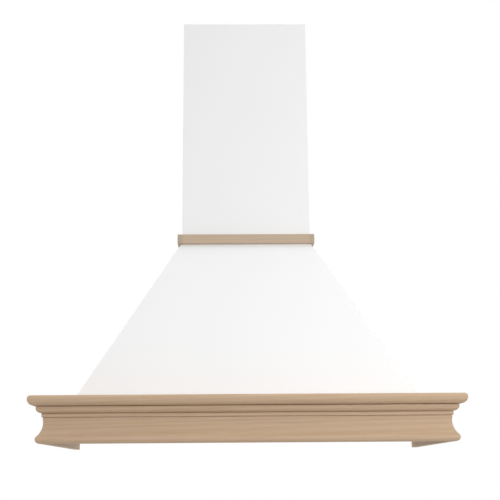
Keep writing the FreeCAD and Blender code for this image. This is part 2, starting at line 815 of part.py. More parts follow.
def build_liner():
    """The folded sheet that closes the hood from below, with openings for everything it carries."""
    liner = new_body("liner")
    slab(liner, "-liner_half", "liner_half", "liner_back", "liner_front",
         "cove_height - liner_lip", "cove_height")
    hollow(liner, "-liner_half + liner_sheet", "liner_half - liner_sheet", "liner_back + liner_sheet",
           "liner_front - liner_sheet", "cove_height - liner_lip", "liner_z")
    sketch = new_sketch(liner, "XY", "liner_z")
    for _, side in SIDES:
        left, right = span(side, "filter_inner_x + filter_overlap", "opening_half")
        rectangle(sketch, left, right, "-(opening_front)", "-(opening_rear)")
        for offset in ("-filter_tab_spacing / 2", "filter_tab_spacing / 2"):
            middle = "%s + (%s)" % (signed(side, "filter_middle_x"), offset)
            half = "filter_tab_width / 2 + latch_slack"
            rectangle(sketch, "%s - (%s)" % (middle, half), "%s + (%s)" % (middle, half),
                      "-(filter_hinge_depth + filter_slot_half)", "-(filter_hinge_depth - filter_slot_half)")
        circle(sketch, signed(side, "lamp_x"), "-(lamp_depth)", "lamp_can_radius + screw_slack")
    rectangle(sketch, "-(housing_half + screw_slack)", "housing_half + screw_slack",
              "-(lamp_depth + housing_depth_half + screw_slack)",
              "-(lamp_depth - housing_depth_half - screw_slack)")
    for x, depth in liner_screw_places() + case_screw_places():
        circle(sketch, x, "-(%s)" % depth, "screw_radius + screw_slack")
    cut(liner, sketch, "liner_sheet")

    screws = new_body("liner_screws")
    screws.AllowCompound = True
    places = [(x, "-(%s)" % depth) for x, depth in liner_screw_places() + case_screw_places()]
    screw_set(screws, "XY", places, "liner_z", "1", "screw_length")


def build_case():
    """The galvanised case that stands on the liner and holds the blower."""
    case = new_body("extractor_case")
    wall = "case_sheet"
    slab(case, "-case_half_width - case_flange", "case_half_width + case_flange",
         "case_rear - case_flange", "case_front + case_flange", "cove_height", "case_base")
    slab(case, "-case_half_width", "case_half_width", "case_rear", "case_front", "case_base", "case_top")
    hollow(case, "-case_half_width + " + wall, "case_half_width - " + wall, "case_rear + " + wall,
           "case_front - " + wall, "cove_height", "case_top - " + wall)
    hollow(case, "-blower_half + blower_wall", "blower_half - blower_wall",
           "shaft_depth - volute_end + blower_wall", "shaft_depth - blower_wall",
           "case_top - " + wall, "case_top")
    sketch = new_sketch(case, "XY", "cove_height")
    for x, depth in case_screw_places():
        circle(sketch, x, "-(%s)" % depth, "screw_radius + pilot_slack")
    cut(case, sketch, wall)


def volute(sketch, inset):
    """The scroll's outline, inset by a wall: three quarter turns of growing radius, then the outlet."""
    x = "-shaft_depth"
    top = "case_top - case_sheet"
    growth = "volute_growth"
    first = "volute_radius - (%s)" % inset
    second = "volute_radius + %s - (%s)" % (growth, inset)
    wall_side = "%s + volute_end - (%s)" % (x, inset)
    corners = [
        ("%s + (%s)" % (x, inset), top),
        ("%s + (%s)" % (x, inset), "shaft_z + " + first),
        ("%s" % x, "shaft_z + " + first),
        ("%s - (%s)" % (x, first), "shaft_z"),
        ("%s + %s" % (x, growth), "shaft_z - (%s)" % second),
        (wall_side, "shaft_z + " + growth),
        (wall_side, top),
    ]
    arcs = {
        2: ("left", "x", x),
        3: ("left", "y", "shaft_z"),
        4: ("left", "y", "shaft_z + " + growth),
    }
    if inset == "0":
        corners.pop(0)
        corners[0] = (x, top)
        arcs = {index - 1: arc for index, arc in arcs.items()}
    outline(sketch, corners, arcs)


BRACKET_ARMS = 3


def build_blower():
    """Two scroll halves, motor, its bracket, shaft and impeller."""
    for name, side in SIDES:
        half = new_body("blower_half_" + name)
        sketch = new_sketch(half, "YZ", "0" if side > 0 else "-blower_half")
        volute(sketch, "0")
        pad(half, sketch, "blower_half")
        sketch = new_sketch(half, "YZ", "0" if side > 0 else "-blower_half + blower_wall")
        volute(sketch, "blower_wall")
        cut(half, sketch, "blower_half - blower_wall")
        sketch = new_sketch(half, "YZ", "blower_half - blower_wall" if side > 0 else "-blower_half")
        circle(sketch, "-shaft_depth", "shaft_z", "inlet_radius")
        cut(half, sketch, "blower_wall")

    bracket = new_body("motor_bracket", depth="shaft_depth", z="shaft_z")
    sketch = new_sketch(bracket, "YZ", "blower_half")
    circle(sketch, "0", "0", "bracket_hub_radius")
    pad(bracket, sketch, "bracket_thick")
    half_arm = "bracket_arm_width / 2"
    for index in range(BRACKET_ARMS):
        angle = math.pi / 2 + 2 * math.pi * index / BRACKET_ARMS
        along, across = math.cos(angle), math.sin(angle)
        sketch = new_sketch(bracket, "YZ", "blower_half")
        corners = []
        for reach, offset in (("0", -1), ("bracket_reach", -1), ("bracket_reach", 1), ("0", 1)):
            corners.append(("(%s) * %.9f - (%s) * %.9f" % (reach, along, half_arm, offset * across),
                            "(%s) * %.9f + (%s) * %.9f" % (reach, across, half_arm, offset * along)))
        outline(sketch, corners)
        pad(bracket, sketch, "bracket_thick")
    sketch = new_sketch(bracket, "YZ", "blower_half + bracket_thick")
    circle(sketch, "0", "0", "motor_end_radius")
    pad(bracket, sketch, "motor_end_length")

    motor = new_body("motor", depth="shaft_depth", z="shaft_z")
    motor_start = "hub_thick / 2 + hub_boss_length + motor_gap"
    sketch = new_sketch(motor, "YZ", motor_start)
    circle(sketch, "0", "0", "motor_radius")
    pad(motor, sketch, "blower_half - (%s)" % motor_start)
    sketch = new_sketch(motor, "YZ", motor_start)
    circle(sketch, "0", "0", "shaft_radius + shaft_slack")
    cut(motor, sketch, "shaft_in_motor")

    impeller = new_body("impeller", depth="shaft_depth", z="shaft_z")
    sketch = new_sketch(impeller, "YZ", "-hub_thick / 2")
    circle(sketch, "0", "0", "impeller_radius")
    pad(impeller, sketch, "hub_thick")
    sketch = new_sketch(impeller, "YZ", "-hub_thick / 2")
    circle(sketch, "0", "0", "hub_boss_radius")
    pad(impeller, sketch, "hub_thick + hub_boss_length")
    for start in ("-impeller_half", "impeller_half - impeller_ring"):
        sketch = new_sketch(impeller, "YZ", start)
        circle(sketch, "0", "0", "impeller_radius")
        circle(sketch, "0", "0", "blade_inner_radius")
        pad(impeller, sketch, "impeller_ring")
    sketch = new_sketch(impeller, "YZ", "-impeller_half")
    rectangle(sketch, "blade_inner_radius + blade_inset", "impeller_radius - blade_inset",
              "-blade_thick / 2", "blade_thick / 2")
    blade = pad(impeller, sketch, "2 * impeller_half")
    pattern = impeller.newObject("PartDesign::PolarPattern", "impeller_blades")
    pattern.Originals = [blade]
    axis = [item for item in impeller.Origin.OriginFeatures if item.Role == "X_Axis"]
    pattern.Axis = (axis[0], [""])
    pattern.Angle = 360
    set_driven(pattern, "Occurrences", "blade_count")
    impeller.Tip = pattern
    sketch = new_sketch(impeller, "YZ", "-hub_thick / 2")
    circle(sketch, "0", "0", "shaft_radius + shaft_slack")
    cut(impeller, sketch, "hub_thick + hub_boss_length")

    shaft = new_body("motor_shaft", depth="shaft_depth", z="shaft_z")
    sketch = new_sketch(shaft, "YZ", "-hub_thick / 2")
    circle(sketch, "0", "0", "shaft_radius")
    pad(shaft, sketch, "(%s) + hub_thick / 2 + shaft_in_motor - shaft_end_gap" % motor_start)


# ---------------------------------------------------------------- duct spigot and flaps

def build_spigot():
    """Duct spigot on the case, with a seat ring and two half-round flaps on their rods."""
    spigot = new_body("duct_spigot", depth="duct_depth")
    disc(spigot, "0", "0", "spigot_radius + spigot_flange", "duct_base", "duct_base + spigot_wall")
    disc(spigot, "0", "0", "spigot_radius", "duct_base + spigot_wall", "duct_base + spigot_height")
    seat_top = "flap_z - flap_sheet / 2 - flap_gap / 2"
    bore(spigot, "0", "0", "spigot_bore - flap_seat", "duct_base", "duct_base + spigot_height")
    bore(spigot, "0", "0", "spigot_bore", seat_top, "duct_base + spigot_height")
    bore(spigot, "0", "0", "spigot_bore", "duct_base", seat_top + " - 2 * spigot_wall")
    sketch = new_sketch(spigot, "YZ", "-spigot_radius - 1")
    for _, side in SIDES:
        circle(sketch, signed(side, "flap_rod_offset"), "flap_z", "flap_rod_radius + flap_rod_slack")
    cut(spigot, sketch, "2 * spigot_radius + 2")

    for name, side in (("front", -1), ("rear", 1)):
        flap = new_body("flap_" + name, depth="duct_depth")
        sketch = new_sketch(flap, "XY", "flap_z - flap_sheet / 2")
        edge = signed(side, "flap_rod_offset")
        chord = "sqrt(flap_radius ^ 2 - flap_rod_offset ^ 2)"
        outline(sketch, [("-" + chord, edge), (chord, edge)],
                {1: ("left" if side > 0 else "right", "y", "0")})
        pad(flap, sketch, "flap_sheet")
        sketch = new_sketch(flap, "YZ", "-spigot_radius")
        circle(sketch, edge, "flap_z", "flap_rod_radius")
        pad(flap, sketch, "2 * spigot_radius")


# ---------------------------------------------------------------- grease filters

MESH_SLOT_COUNT = 10


def build_filters():
    """Two cassettes: frame with rear tabs, pierced mesh pad and a sliding latch."""
    for name, side in SIDES:
        left, right = span(side, "filter_inner_x", "filter_outer_x")
        frame = new_body("filter_frame_" + name)
        slab(frame, left, right, "filter_rear", "filter_front", "filter_bottom", "filter_top")
        hollow(frame, left + " + filter_border", right + " - filter_border", "filter_rear + filter_border",
               "filter_front - filter_border", "filter_bottom", "filter_top")
        middle = signed(side, "filter_middle_x")
        tab_low = "cove_height + filter_drop"
        for offset in ("-filter_tab_spacing / 2", "filter_tab_spacing / 2"):
            at = "%s + (%s)" % (middle, offset)
            slab(frame, at + " - filter_tab_width / 2", at + " + filter_tab_width / 2",
                 "filter_rear - filter_tab_thick", "filter_rear",
                 "filter_bottom", tab_low + " + filter_tab_thick")
            slab(frame, at + " - filter_tab_width / 2", at + " + filter_tab_width / 2",
                 "filter_rear - filter_tab_thick - filter_tab_reach", "filter_rear - filter_tab_thick",
                 tab_low, tab_low + " + filter_tab_thick")
        hollow(frame, middle + " - latch_width / 2 - latch_slack", middle + " + latch_width / 2 + latch_slack",
               "latch_depth - latch_slack", "latch_depth + latch_stem + latch_travel + latch_slack",
               "filter_bottom", "filter_top")

        mesh = new_body("filter_mesh_" + name)
        low = "filter_bottom + (filter_thick - mesh_thick) / 2"
        slab(mesh, left + " + filter_border", right + " - filter_border", "filter_rear + filter_border",
             "filter_front - filter_border", low, low + " + mesh_thick")
        sketch = new_sketch(mesh, "XY", low)
        pitch = "(filter_length - 2 * filter_border) / %d" % MESH_SLOT_COUNT
        for index in range(MESH_SLOT_COUNT):
            rear = "filter_rear + filter_border + (%s) * %g - mesh_gap_width / 2" % (pitch, index + 0.5)
            rectangle(sketch, left + " + filter_border + mesh_edge", right + " - filter_border - mesh_edge",
                      "-(%s + mesh_gap_width)" % rear, "-(%s)" % rear)
        cut(mesh, sketch, "mesh_thick")

        latch = new_body("filter_latch_" + name)
        grip_low = "filter_bottom - latch_slack - latch_plate"
        slab(latch, middle + " - latch_width / 2", middle + " + latch_width / 2",
             "latch_depth - 3 * latch_stem", "latch_depth + latch_stem + latch_travel",
             grip_low, grip_low + " + latch_plate")
        slab(latch, middle + " - latch_width / 2", middle + " + latch_width / 2",
             "latch_depth", "latch_depth + latch_stem", grip_low + " + latch_plate",
             "cove_height + latch_slack + latch_plate / 2")
        slab(latch, middle + " - latch_width / 2", middle + " + latch_width / 2",
             "latch_depth + latch_stem", "opening_front - latch_slack", "cove_height + latch_slack",
             "cove_height + latch_slack + latch_plate / 2")
        slab(latch, middle + " - latch_width / 2", middle + " + latch_width / 2",
             "latch_depth - 3 * latch_stem", "latch_depth - 2 * latch_stem",
             grip_low + " - latch_plate", grip_low)


# ---------------------------------------------------------------- lamps and controls

def build_lamps():
    """Two recessed lamps: a can with a flange under the liner, and its lens."""
    for name, side in SIDES:
        can = new_body("lamp_can_" + name, x=signed(side, "lamp_x"), depth="lamp_depth")
        disc(can, "0", "0", "lamp_flange_radius", "liner_z - lamp_flange", "liner_z")
        disc(can, "0", "0", "lamp_can_radius", "liner_z", "liner_z + lamp_can_height")
        bore(can, "0", "0", "lamp_lens_radius + screw_slack", "liner_z - lamp_flange",
             "liner_z - lamp_flange + lamp_lens_thick")
        bore(can, "0", "0", "lamp_lens_radius - lamp_wall", "liner_z - lamp_flange + lamp_lens_thick",
             "liner_z + lamp_can_height - lamp_wall")
        lens = new_body("lamp_lens_" + name, x=signed(side, "lamp_x"), depth="lamp_depth")
        disc(lens, "0", "0", "lamp_lens_radius", "liner_z - lamp_flange",
             "liner_z - lamp_flange + lamp_lens_thick")


BUTTONS = ("button_light", "button_off", "button_speed_1", "button_speed_2", "button_speed_3")


def build_controls():
    """Bezel under the liner, switch housing above it, and five push buttons."""
    places = ["button_pitch * %d" % (index - len(BUTTONS) // 2) for index in range(len(BUTTONS))]
    panel = new_body("control_panel", depth="lamp_depth")
    slab(panel, "-panel_width / 2", "panel_width / 2", "-panel_depth / 2", "panel_depth / 2",
         "panel_z", "liner_z")
    sketch = new_sketch(panel, "XY", "panel_z")
    for x in places:
        circle(sketch, x, "0", "button_radius + button_slack")
    cut(panel, sketch, "panel_thick")
    housing = new_body("switch_housing", depth="lamp_depth")
    slab(housing, "-housing_half", "housing_half", "-housing_depth_half", "housing_depth_half",
         "liner_z", "liner_z + housing_height")
    hollow(housing, "-housing_half + housing_wall", "housing_half - housing_wall",
           "-housing_depth_half + housing_wall", "housing_depth_half - housing_wall",
           "liner_z", "liner_z + housing_height - housing_wall")
    for label, x in zip(BUTTONS, places):
        button = new_body(label, x=x, depth="lamp_depth")
        flange_low = "liner_z + button_slack"
        disc(button, "0", "0", "button_radius", "button_bottom", flange_low)
        disc(button, "0", "0", "button_radius + 2 * button_slack + button_flange / 2",
             flange_low, flange_low + " + button_flange")
        disc(button, "0", "0", "button_radius / 2", flange_low + " + button_flange",
             "liner_z + housing_height - housing_wall - button_travel - button_slack")


def build_terminal():
    """Terminal box on the case's left side, with its lid and the gland for the supply cable."""
    wall = "terminal_wall"
    box = new_body("terminal_box")
    slab(box, "-terminal_x", "-case_half_width", "terminal_rear", "terminal_rear + terminal_depth",
         "terminal_z", "terminal_z + terminal_height")
    hollow(box, "-terminal_x", "-case_half_width - " + wall, "terminal_rear + " + wall,
           "terminal_rear + terminal_depth - " + wall, "terminal_z + " + wall,
           "terminal_z + terminal_height - " + wall)
    across = "-case_half_width - terminal_thick / 2"
    top = "terminal_z + terminal_height"
    bore(box, across, "duct_depth", "gland_radius / 2 + terminal_wall", top + " - " + wall, top)
    lid = new_body("terminal_lid")
    slab(lid, "-terminal_x - " + wall, "-terminal_x", "terminal_rear", "terminal_rear + terminal_depth",
         "terminal_z", top)
    gland = new_body("cable_gland", x=across, depth="duct_depth")
    disc(gland, "0", "0", "gland_radius / 2 + terminal_wall - screw_slack / 4", top + " - 2 * " + wall, top)
    disc(gland, "0", "0", "gland_radius", top, top + " + gland_length")
    bore(gland, "0", "0", "gland_bore", top + " - 2 * " + wall, top + " + gland_length")


build_base_frame()
build_canopy()
build_chimney()
build_hanging()
build_liner()
build_case()
build_blower()
build_spigot()
build_filters()
build_lamps()
build_controls()
build_terminal()
doc.recompute()

for item in doc.Objects:
    if "Invalid" in item.State or "Error" in item.State:
        raise RuntimeError("%s did not compute: %s" % (item.Label, item.State))
for feature in CUTS:
    if feature.Shape.Volume >= feature.BaseFeature.Shape.Volume - 1e-3:
        raise RuntimeError("%s removes nothing" % feature.Label)
for node in NODES:
    if node.Shape.isNull() or not node.Shape.isValid():
        raise RuntimeError("%s has no valid shape" % node.Label)

os.makedirs("parts", exist_ok=True)
for node in NODES:
    node.Shape.exportStep(os.path.join("parts", node.Label + ".step"))
print("%d nodes, overall %s" % (len(NODES), Part.makeCompound([node.Shape for node in NODES]).BoundBox))
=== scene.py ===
"""Finishes, fine detail, studio and camera of a wall range hood with a wooden cover.

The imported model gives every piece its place. This script replaces its plain solids with eased, turned
and patterned meshes of the same sizes, gives each its real finish, and lights it in a pale studio.
"""

import json
import logging
import math
from dataclasses import KW_ONLY, dataclass, replace
from enum import Enum
from functools import lru_cache, partial
from typing import Callable, Iterable, NamedTuple, Sequence

import bmesh
import bpy
from mathutils import Euler, Matrix, Vector

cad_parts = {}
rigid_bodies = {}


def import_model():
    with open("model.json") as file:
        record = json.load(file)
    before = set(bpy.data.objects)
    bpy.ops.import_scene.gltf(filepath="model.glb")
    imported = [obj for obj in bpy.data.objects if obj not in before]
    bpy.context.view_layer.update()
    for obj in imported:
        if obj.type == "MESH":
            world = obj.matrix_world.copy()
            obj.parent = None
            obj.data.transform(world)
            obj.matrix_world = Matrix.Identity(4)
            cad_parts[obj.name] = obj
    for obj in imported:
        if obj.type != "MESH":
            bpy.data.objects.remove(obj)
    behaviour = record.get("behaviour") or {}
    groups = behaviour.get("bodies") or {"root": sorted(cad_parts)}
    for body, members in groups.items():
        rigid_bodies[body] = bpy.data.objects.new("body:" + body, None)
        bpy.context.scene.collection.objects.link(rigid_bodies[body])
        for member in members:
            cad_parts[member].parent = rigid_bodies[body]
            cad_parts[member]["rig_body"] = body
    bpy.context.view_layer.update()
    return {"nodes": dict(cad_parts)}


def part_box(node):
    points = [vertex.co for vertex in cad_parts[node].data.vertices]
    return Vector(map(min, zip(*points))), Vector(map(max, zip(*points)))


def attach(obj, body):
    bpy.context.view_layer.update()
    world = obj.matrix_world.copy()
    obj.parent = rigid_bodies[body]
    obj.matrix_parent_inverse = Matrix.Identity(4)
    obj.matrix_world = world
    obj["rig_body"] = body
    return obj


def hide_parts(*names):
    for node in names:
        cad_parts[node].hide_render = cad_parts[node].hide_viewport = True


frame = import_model()

log = logging.getLogger("range_hood")

MM = 0.001
WELD = 2e-6
TINY = 1e-7
WAVE = 0.314  # a wave texture's period at scale 1
SIDES = ("left", "right")
NONE = (0.0, 0.0, 0.0)
MIDDLE = (0.5, 0.5, 0.5)
FOOT = (0.5, 0.5, 0.0)

Object = bpy.types.Object
Model = bmesh.types.BMesh
Socket = bpy.types.NodeSocket
Outputs = bpy.types.NodeOutputs
Add = Callable[..., Outputs]
Point = Sequence[float]
Profile = Sequence[tuple[float, float]]
SOCKETS = {int: "NodeSocketInt", float: "NodeSocketFloat", tuple: "NodeSocketVector",
           Object: "NodeSocketObject"}


class Axis(Enum):
    """A direction of the row frame."""

    X = 0
    Y = 1
    Z = 2

    def unit(self) -> Vector:
        """One metre along it."""
        return Vector([float(index == self.value) for index in range(3)])

    def turn(self) -> tuple[float, float, float]:
        """The rotation that lays a shape's own Z along it."""
        quarter = math.pi / 2
        return ((0.0, quarter, 0.0), (-quarter, 0.0, 0.0), NONE)[self.value]

    def drawn_out(self, stretch: float) -> Vector:
        """The scale that makes a pattern this many times longer along it."""
        return Vector([1 / stretch if index == self.value else 1.0 for index in range(3)])


class Slot(Enum):
    """The record's material slots."""

    RAW_WOOD = "raw_wood"
    WHITE_PAINT = "white_paint"
    SOFTWOOD = "softwood"
    PLYWOOD = "plywood"
    LINER_STEEL = "liner_steel"
    GALVANISED = "galvanised"
    FILTER_ALUMINIUM = "filter_aluminium"
    ZINC_PLATE = "zinc_plate"
    BLACK_PLASTIC = "black_plastic"
    BUTTON_PLASTIC = "button_plastic"
    MOTOR_STEEL = "motor_steel"
    LAMP_METAL = "lamp_metal"
    LAMP_GLASS = "lamp_glass"


def linear(code: str) -> tuple[float, float, float, float]:
    """The linear colour of an sRGB hex value.

    Args:
        code: Six hex digits.

    Returns:
        Red, green, blue and an alpha of 1.
    """
    channels = [int(code[start:start + 2], 16) / 255 for start in (0, 2, 4)]
    lit = [c / 12.92 if c <= 0.04045 else ((c + 0.055) / 1.055) ** 2.4 for c in channels]
    return (lit[0], lit[1], lit[2], 1.0)


def per(cell_mm: float) -> float:
    """The scale at which a pattern's cells have this size."""
    return 1 / (cell_mm * MM)


def add_node(tree: bpy.types.NodeTree, kind: str, inputs: dict | None = None,
             **settings: object) -> Outputs:
    """Add a node with its settings and links.

    Args:
        tree: The tree it goes into.
        kind: The node's type name; a shader node's may leave out ShaderNode.
        inputs: By name or index, the socket that feeds an input or the value that it has.
        settings: The node's own attributes.

    Returns:
        The node's outputs.
    """
    node = tree.nodes.new(kind if "Node" in kind else "ShaderNode" + kind)
    for name, value in settings.items():
        setattr(node, name, value)
    for key, value in (inputs or {}).items():
        if isinstance(value, Socket):
            tree.links.new(value, node.inputs[key])
        else:
            node.inputs[key].default_value = value
    return node.outputs


def span(levels: Sequence[float]) -> dict[int, float]:
    """Map Range inputs: where a pattern starts and ends to show and, if given, how far it goes."""
    return dict(zip((1, 2, 4), levels))


# ------------------------------------------------------------------ finishes


class Skin(NamedTuple):
    """The patterns of a surface.

    The mark's share, what the roughness follows and what stands up, then further colours over these.
    """

    share: Socket
    gloss: Socket
    height: Socket
    coats: tuple[tuple[str, Socket], ...] = ()


@dataclass(frozen=True)
class Finish:
    """A real material and the way its surface was made.

    The mark colour lies over the base. Rough is the roughness at both ends of its pattern, or nothing where
    it is even. Relief is a strength and a height in millimetres. The sockets are the shader's own values.
    """

    label: str
    slot: Slot
    base: str
    mark: str
    _: KW_ONLY
    rough: tuple[float, ...] = ()
    relief: tuple[float, float] = (0.2, 0.05)
    sockets: tuple[tuple[str, float], ...] = (("IOR", 1.5),)

    def skin(self, add: Add, where: Outputs) -> Skin:
        """Build the surface's patterns.

        Args:
            add: Adds a node to the material's tree.
            where: Outputs of its texture coordinates.

        Returns:
            The patterns.
        """
        raise NotImplementedError


@lru_cache(maxsize=None)
def material_of(finish: Finish) -> bpy.types.Material:
    """The one material of a finish.

    Args:
        finish: What the surface is.

    Returns:
        Its material, built on the first call.
    """
    made = bpy.data.materials.new(finish.label)
    made.use_nodes = True
    tree = made.node_tree
    add = partial(add_node, tree)
    shader = next(node for node in tree.nodes if node.type == "BSDF_PRINCIPLED")
    skin = finish.skin(add, add("TexCoord"))
    colour = linear(finish.base)
    for tone, share in ((finish.mark, skin.share), *skin.coats):
        colour = add("Mix", {0: share, 6: colour, 7: linear(tone)}, data_type="RGBA")[2]
    strength, height_mm = finish.relief
    bump = add("Bump", {"Strength": strength, "Distance": height_mm * MM, "Height": skin.height})[0]
    sources = {"Base Color": colour, "Normal": bump}
    if finish.rough:
        sources["Roughness"] = add("MapRange", {0: skin.gloss, 3: finish.rough[0], 4: finish.rough[1]})[0]
    for name, source in sources.items():
        tree.links.new(source, shader.inputs[name])
    for name, value in finish.sockets:
        shader.inputs[name].default_value = value
    return made


@dataclass(frozen=True, kw_only=True)
class Timber(Finish):
    """Bare planed wood: growth rings, fibres drawn out along the grain, pores, and darker end grain."""

    blush: str
    end: str
    grain: Axis = Axis.X
    ring_mm: float = 7.0
    ring_share: float = 0.2
    fibre_mm: float = 1.1
    stretch: float = 55.0
    figure: tuple[float, ...] = (0.26, 0.74)
    patch_mm: float = 26.0
    patches: tuple[float, ...] = (0.42, 0.7, 0.55)
    pore_mm: float = 0.8
    pores: tuple[float, ...] = (0.6, 0.78, 0.2)
    streak_mm: float = 4.0
    streaks: tuple[float, ...] = (0.62, 0.72, 0.24)
    sawn: tuple[float, ...] = (0.86, 0.97, 0.6)
    vessel_mm: float = 0.9
    vessels: tuple[float, ...] = (0.3, 0.12, 0.3)
    pith: tuple[float, float, float] = (0.0, 0.33, 0.41)
    tilt: float = 0.012
    rough: tuple[float, ...] = (0.55, 0.72)
    relief: tuple[float, float] = (0.25, 0.12)

    def skin(self, add: Add, where: Outputs) -> Skin:
        """Rings about a pith outside the board, with all patterns squeezed along the grain.

        Args:
            add: Adds a node to the material's tree.
            where: Outputs of its texture coordinates.

        Returns:
            The patterns.
        """
        log_place = add("Mapping", {"Vector": where["Object"], "Location": self.pith,
                                    "Rotation": (self.tilt, self.tilt, self.tilt)})[0]
        board = add("Mapping", {"Vector": log_place, "Scale": self.grain.drawn_out(self.stretch)})[0]
        rings = add("TexWave", {"Vector": board, "Scale": WAVE * per(self.ring_mm), "Distortion": 9.0,
                                "Detail": 2.0, "Detail Scale": 0.45, "Detail Roughness": 0.5},
                    wave_type="RINGS", rings_direction=self.grain.name)["Fac"]
        # Boards differ over a hand's breadth, some parts pinker than others. The long grain makes a few
        # darker streaks, a hand's length each.
        fibres, pores, patches, long_grain = [
            add("TexNoise", {"Vector": board, "Scale": per(cell_mm), "Detail": detail,
                             "Roughness": broken})["Fac"]
            for cell_mm, detail, broken in ((self.fibre_mm, 3.0, 0.62), (self.pore_mm, 1.0, 0.5),
                                            (self.patch_mm, 1.5, 0.5), (self.streak_mm, 1.0, 0.5))]
        facing = add("VectorMath", {0: where["Normal"], 1: self.grain.unit()},
                     operation="DOT_PRODUCT")["Value"]
        facing = add("Math", {0: facing}, operation="ABSOLUTE")[0]
        figure = add("Mix", {0: self.ring_share, 2: fibres, 3: rings})[0]
        # Across the sawn ends the open vessels show as dark dots; drawn at twice their real 0.1 mm.
        vessels = add("TexVoronoi", {"Vector": where["Object"], "Scale": per(self.vessel_mm)})["Distance"]
        figure, blush, flecks, streaks, sawn, dots = [
            add("MapRange", {0: pattern, **span(levels)})[0]
            for pattern, levels in ((figure, self.figure), (patches, self.patches), (pores, self.pores),
                                    (long_grain, self.streaks), (facing, self.sawn), (vessels, self.vessels))]
        dots = add("Math", {0: dots, 1: sawn}, operation="MULTIPLY")[0]
        height = add("Math", {0: fibres, 1: flecks}, operation="SUBTRACT")[0]
        return Skin(figure, fibres, height, ((self.blush, blush), (self.end, flecks), (self.end, streaks),
                                             (self.end, sawn), (self.mark, dots)))

    def along(self, grain: Axis) -> "Timber":
        """The same wood with its grain along another axis."""
        return replace(self, label=self.label.rsplit(".", 1)[0] + "." + grain.name.lower(), grain=grain)


@dataclass(frozen=True, kw_only=True)
class Lacquer(Finish):
    """Sprayed matt lacquer: a faint orange peel, and a film slightly thicker in broad patches."""

    film_mm: float = 200.0
    peel_mm: float = 2.4
    rough: tuple[float, ...] = (0.65, 0.55)
    relief: tuple[float, float] = (0.12, 0.1)

    def skin(self, add: Add, where: Outputs) -> Skin:
        """Broad patches for tint and gloss, fine peel for relief.

        Args:
            add: Adds a node to the material's tree.
            where: Outputs of its texture coordinates.

        Returns:
            The patterns.
        """
        film = add("TexNoise", {"Vector": where["Object"], "Scale": per(self.film_mm), "Detail": 2.0})["Fac"]
        peel = add("TexNoise", {"Vector": where["Object"], "Scale": per(self.peel_mm), "Detail": 1.0})["Fac"]
        return Skin(film, film, peel)


@dataclass(frozen=True, kw_only=True)
class Board(Finish):
    """Sawn panel stock, fibreboard or plywood: fibre flecks on the face and plies across the thickness."""

    ply: str = ""
    ply_mm: float = 0.0
    fleck_mm: float = 1.6
    flecks: tuple[float, ...] = (0.35, 0.7, 0.8)
    edge: tuple[float, ...] = (0.4, 0.1, 0.8)
    stretch: float = 1.0
    rough: tuple[float, ...] = (0.67, 0.83)
    relief: tuple[float, float] = (0.3, 0.1)

    def skin(self, add: Add, where: Outputs) -> Skin:
        """Flecks everywhere; bands by height only where the board has plies.

        Args:
            add: Adds a node to the material's tree.
            where: Outputs of its texture coordinates.

        Returns:
            The patterns.
        """
        drawn = add("Mapping", {"Vector": where["Object"], "Scale": Axis.X.drawn_out(self.stretch)})[0]
        flecks = add("TexNoise", {"Vector": drawn, "Scale": per(self.fleck_mm), "Detail": 3.0})["Fac"]
        share = add("MapRange", {0: flecks, **span(self.flecks)})[0]
        if not self.ply:
            return Skin(share, flecks, flecks)
        plies = add("TexWave", {"Vector": where["Object"], "Scale": WAVE * per(2 * self.ply_mm),
                                "Distortion": 0.3}, bands_direction="Z")["Fac"]
        upright = add("SeparateXYZ", {0: where["Normal"]})[2]
        upright = add("Math", {0: upright}, operation="ABSOLUTE")[0]
        edge = add("MapRange", {0: upright, **span(self.edge)})[0]
        edge = add("Math", {0: edge, 1: plies}, operation="MULTIPLY")[0]
        return Skin(share, flecks, flecks, ((self.ply, edge),))


@dataclass(frozen=True, kw_only=True)
class BrushedMetal(Finish):
    """Sheet or bar metal with fine lines from its belt or its mill rolls."""

    brush: Axis = Axis.X
    line_mm: float = 0.9
    stretch: float = 60.0
    lines: tuple[float, ...] = (0.3, 0.7)
    smear_mm: float = 71.43
    handled: tuple[float, ...] = (0.6, 1.4)
    rough: tuple[float, ...] = (0.23, 0.4)
    relief: tuple[float, float] = (0.15, 0.05)
    sockets: tuple[tuple[str, float], ...] = (("Metallic", 1.0),)

    def skin(self, add: Add, where: Outputs) -> Skin:
        """Lines drawn wider than the real 0.1 mm ones, so that they show; smears of handling over them.

        Args:
            add: Adds a node to the material's tree.
            where: Outputs of its texture coordinates.

        Returns:
            The patterns.
        """
        place = where["Object"]
        drawn = add("Mapping", {"Vector": place, "Scale": self.brush.drawn_out(self.stretch)})[0]
        lines = add("TexNoise", {"Vector": drawn, "Scale": per(self.line_mm), "Detail": 4.0})["Fac"]
        smears = add("TexNoise", {"Vector": place, "Scale": per(self.smear_mm), "Detail": 3.0})["Fac"]
        both = add("Math", {0: lines, 1: smears}, operation="ADD")[0]
        share = add("MapRange", {0: lines, **span(self.lines)})[0]
        gloss = add("MapRange", {0: both, **span(self.handled)})[0]
        return Skin(share, gloss, lines)


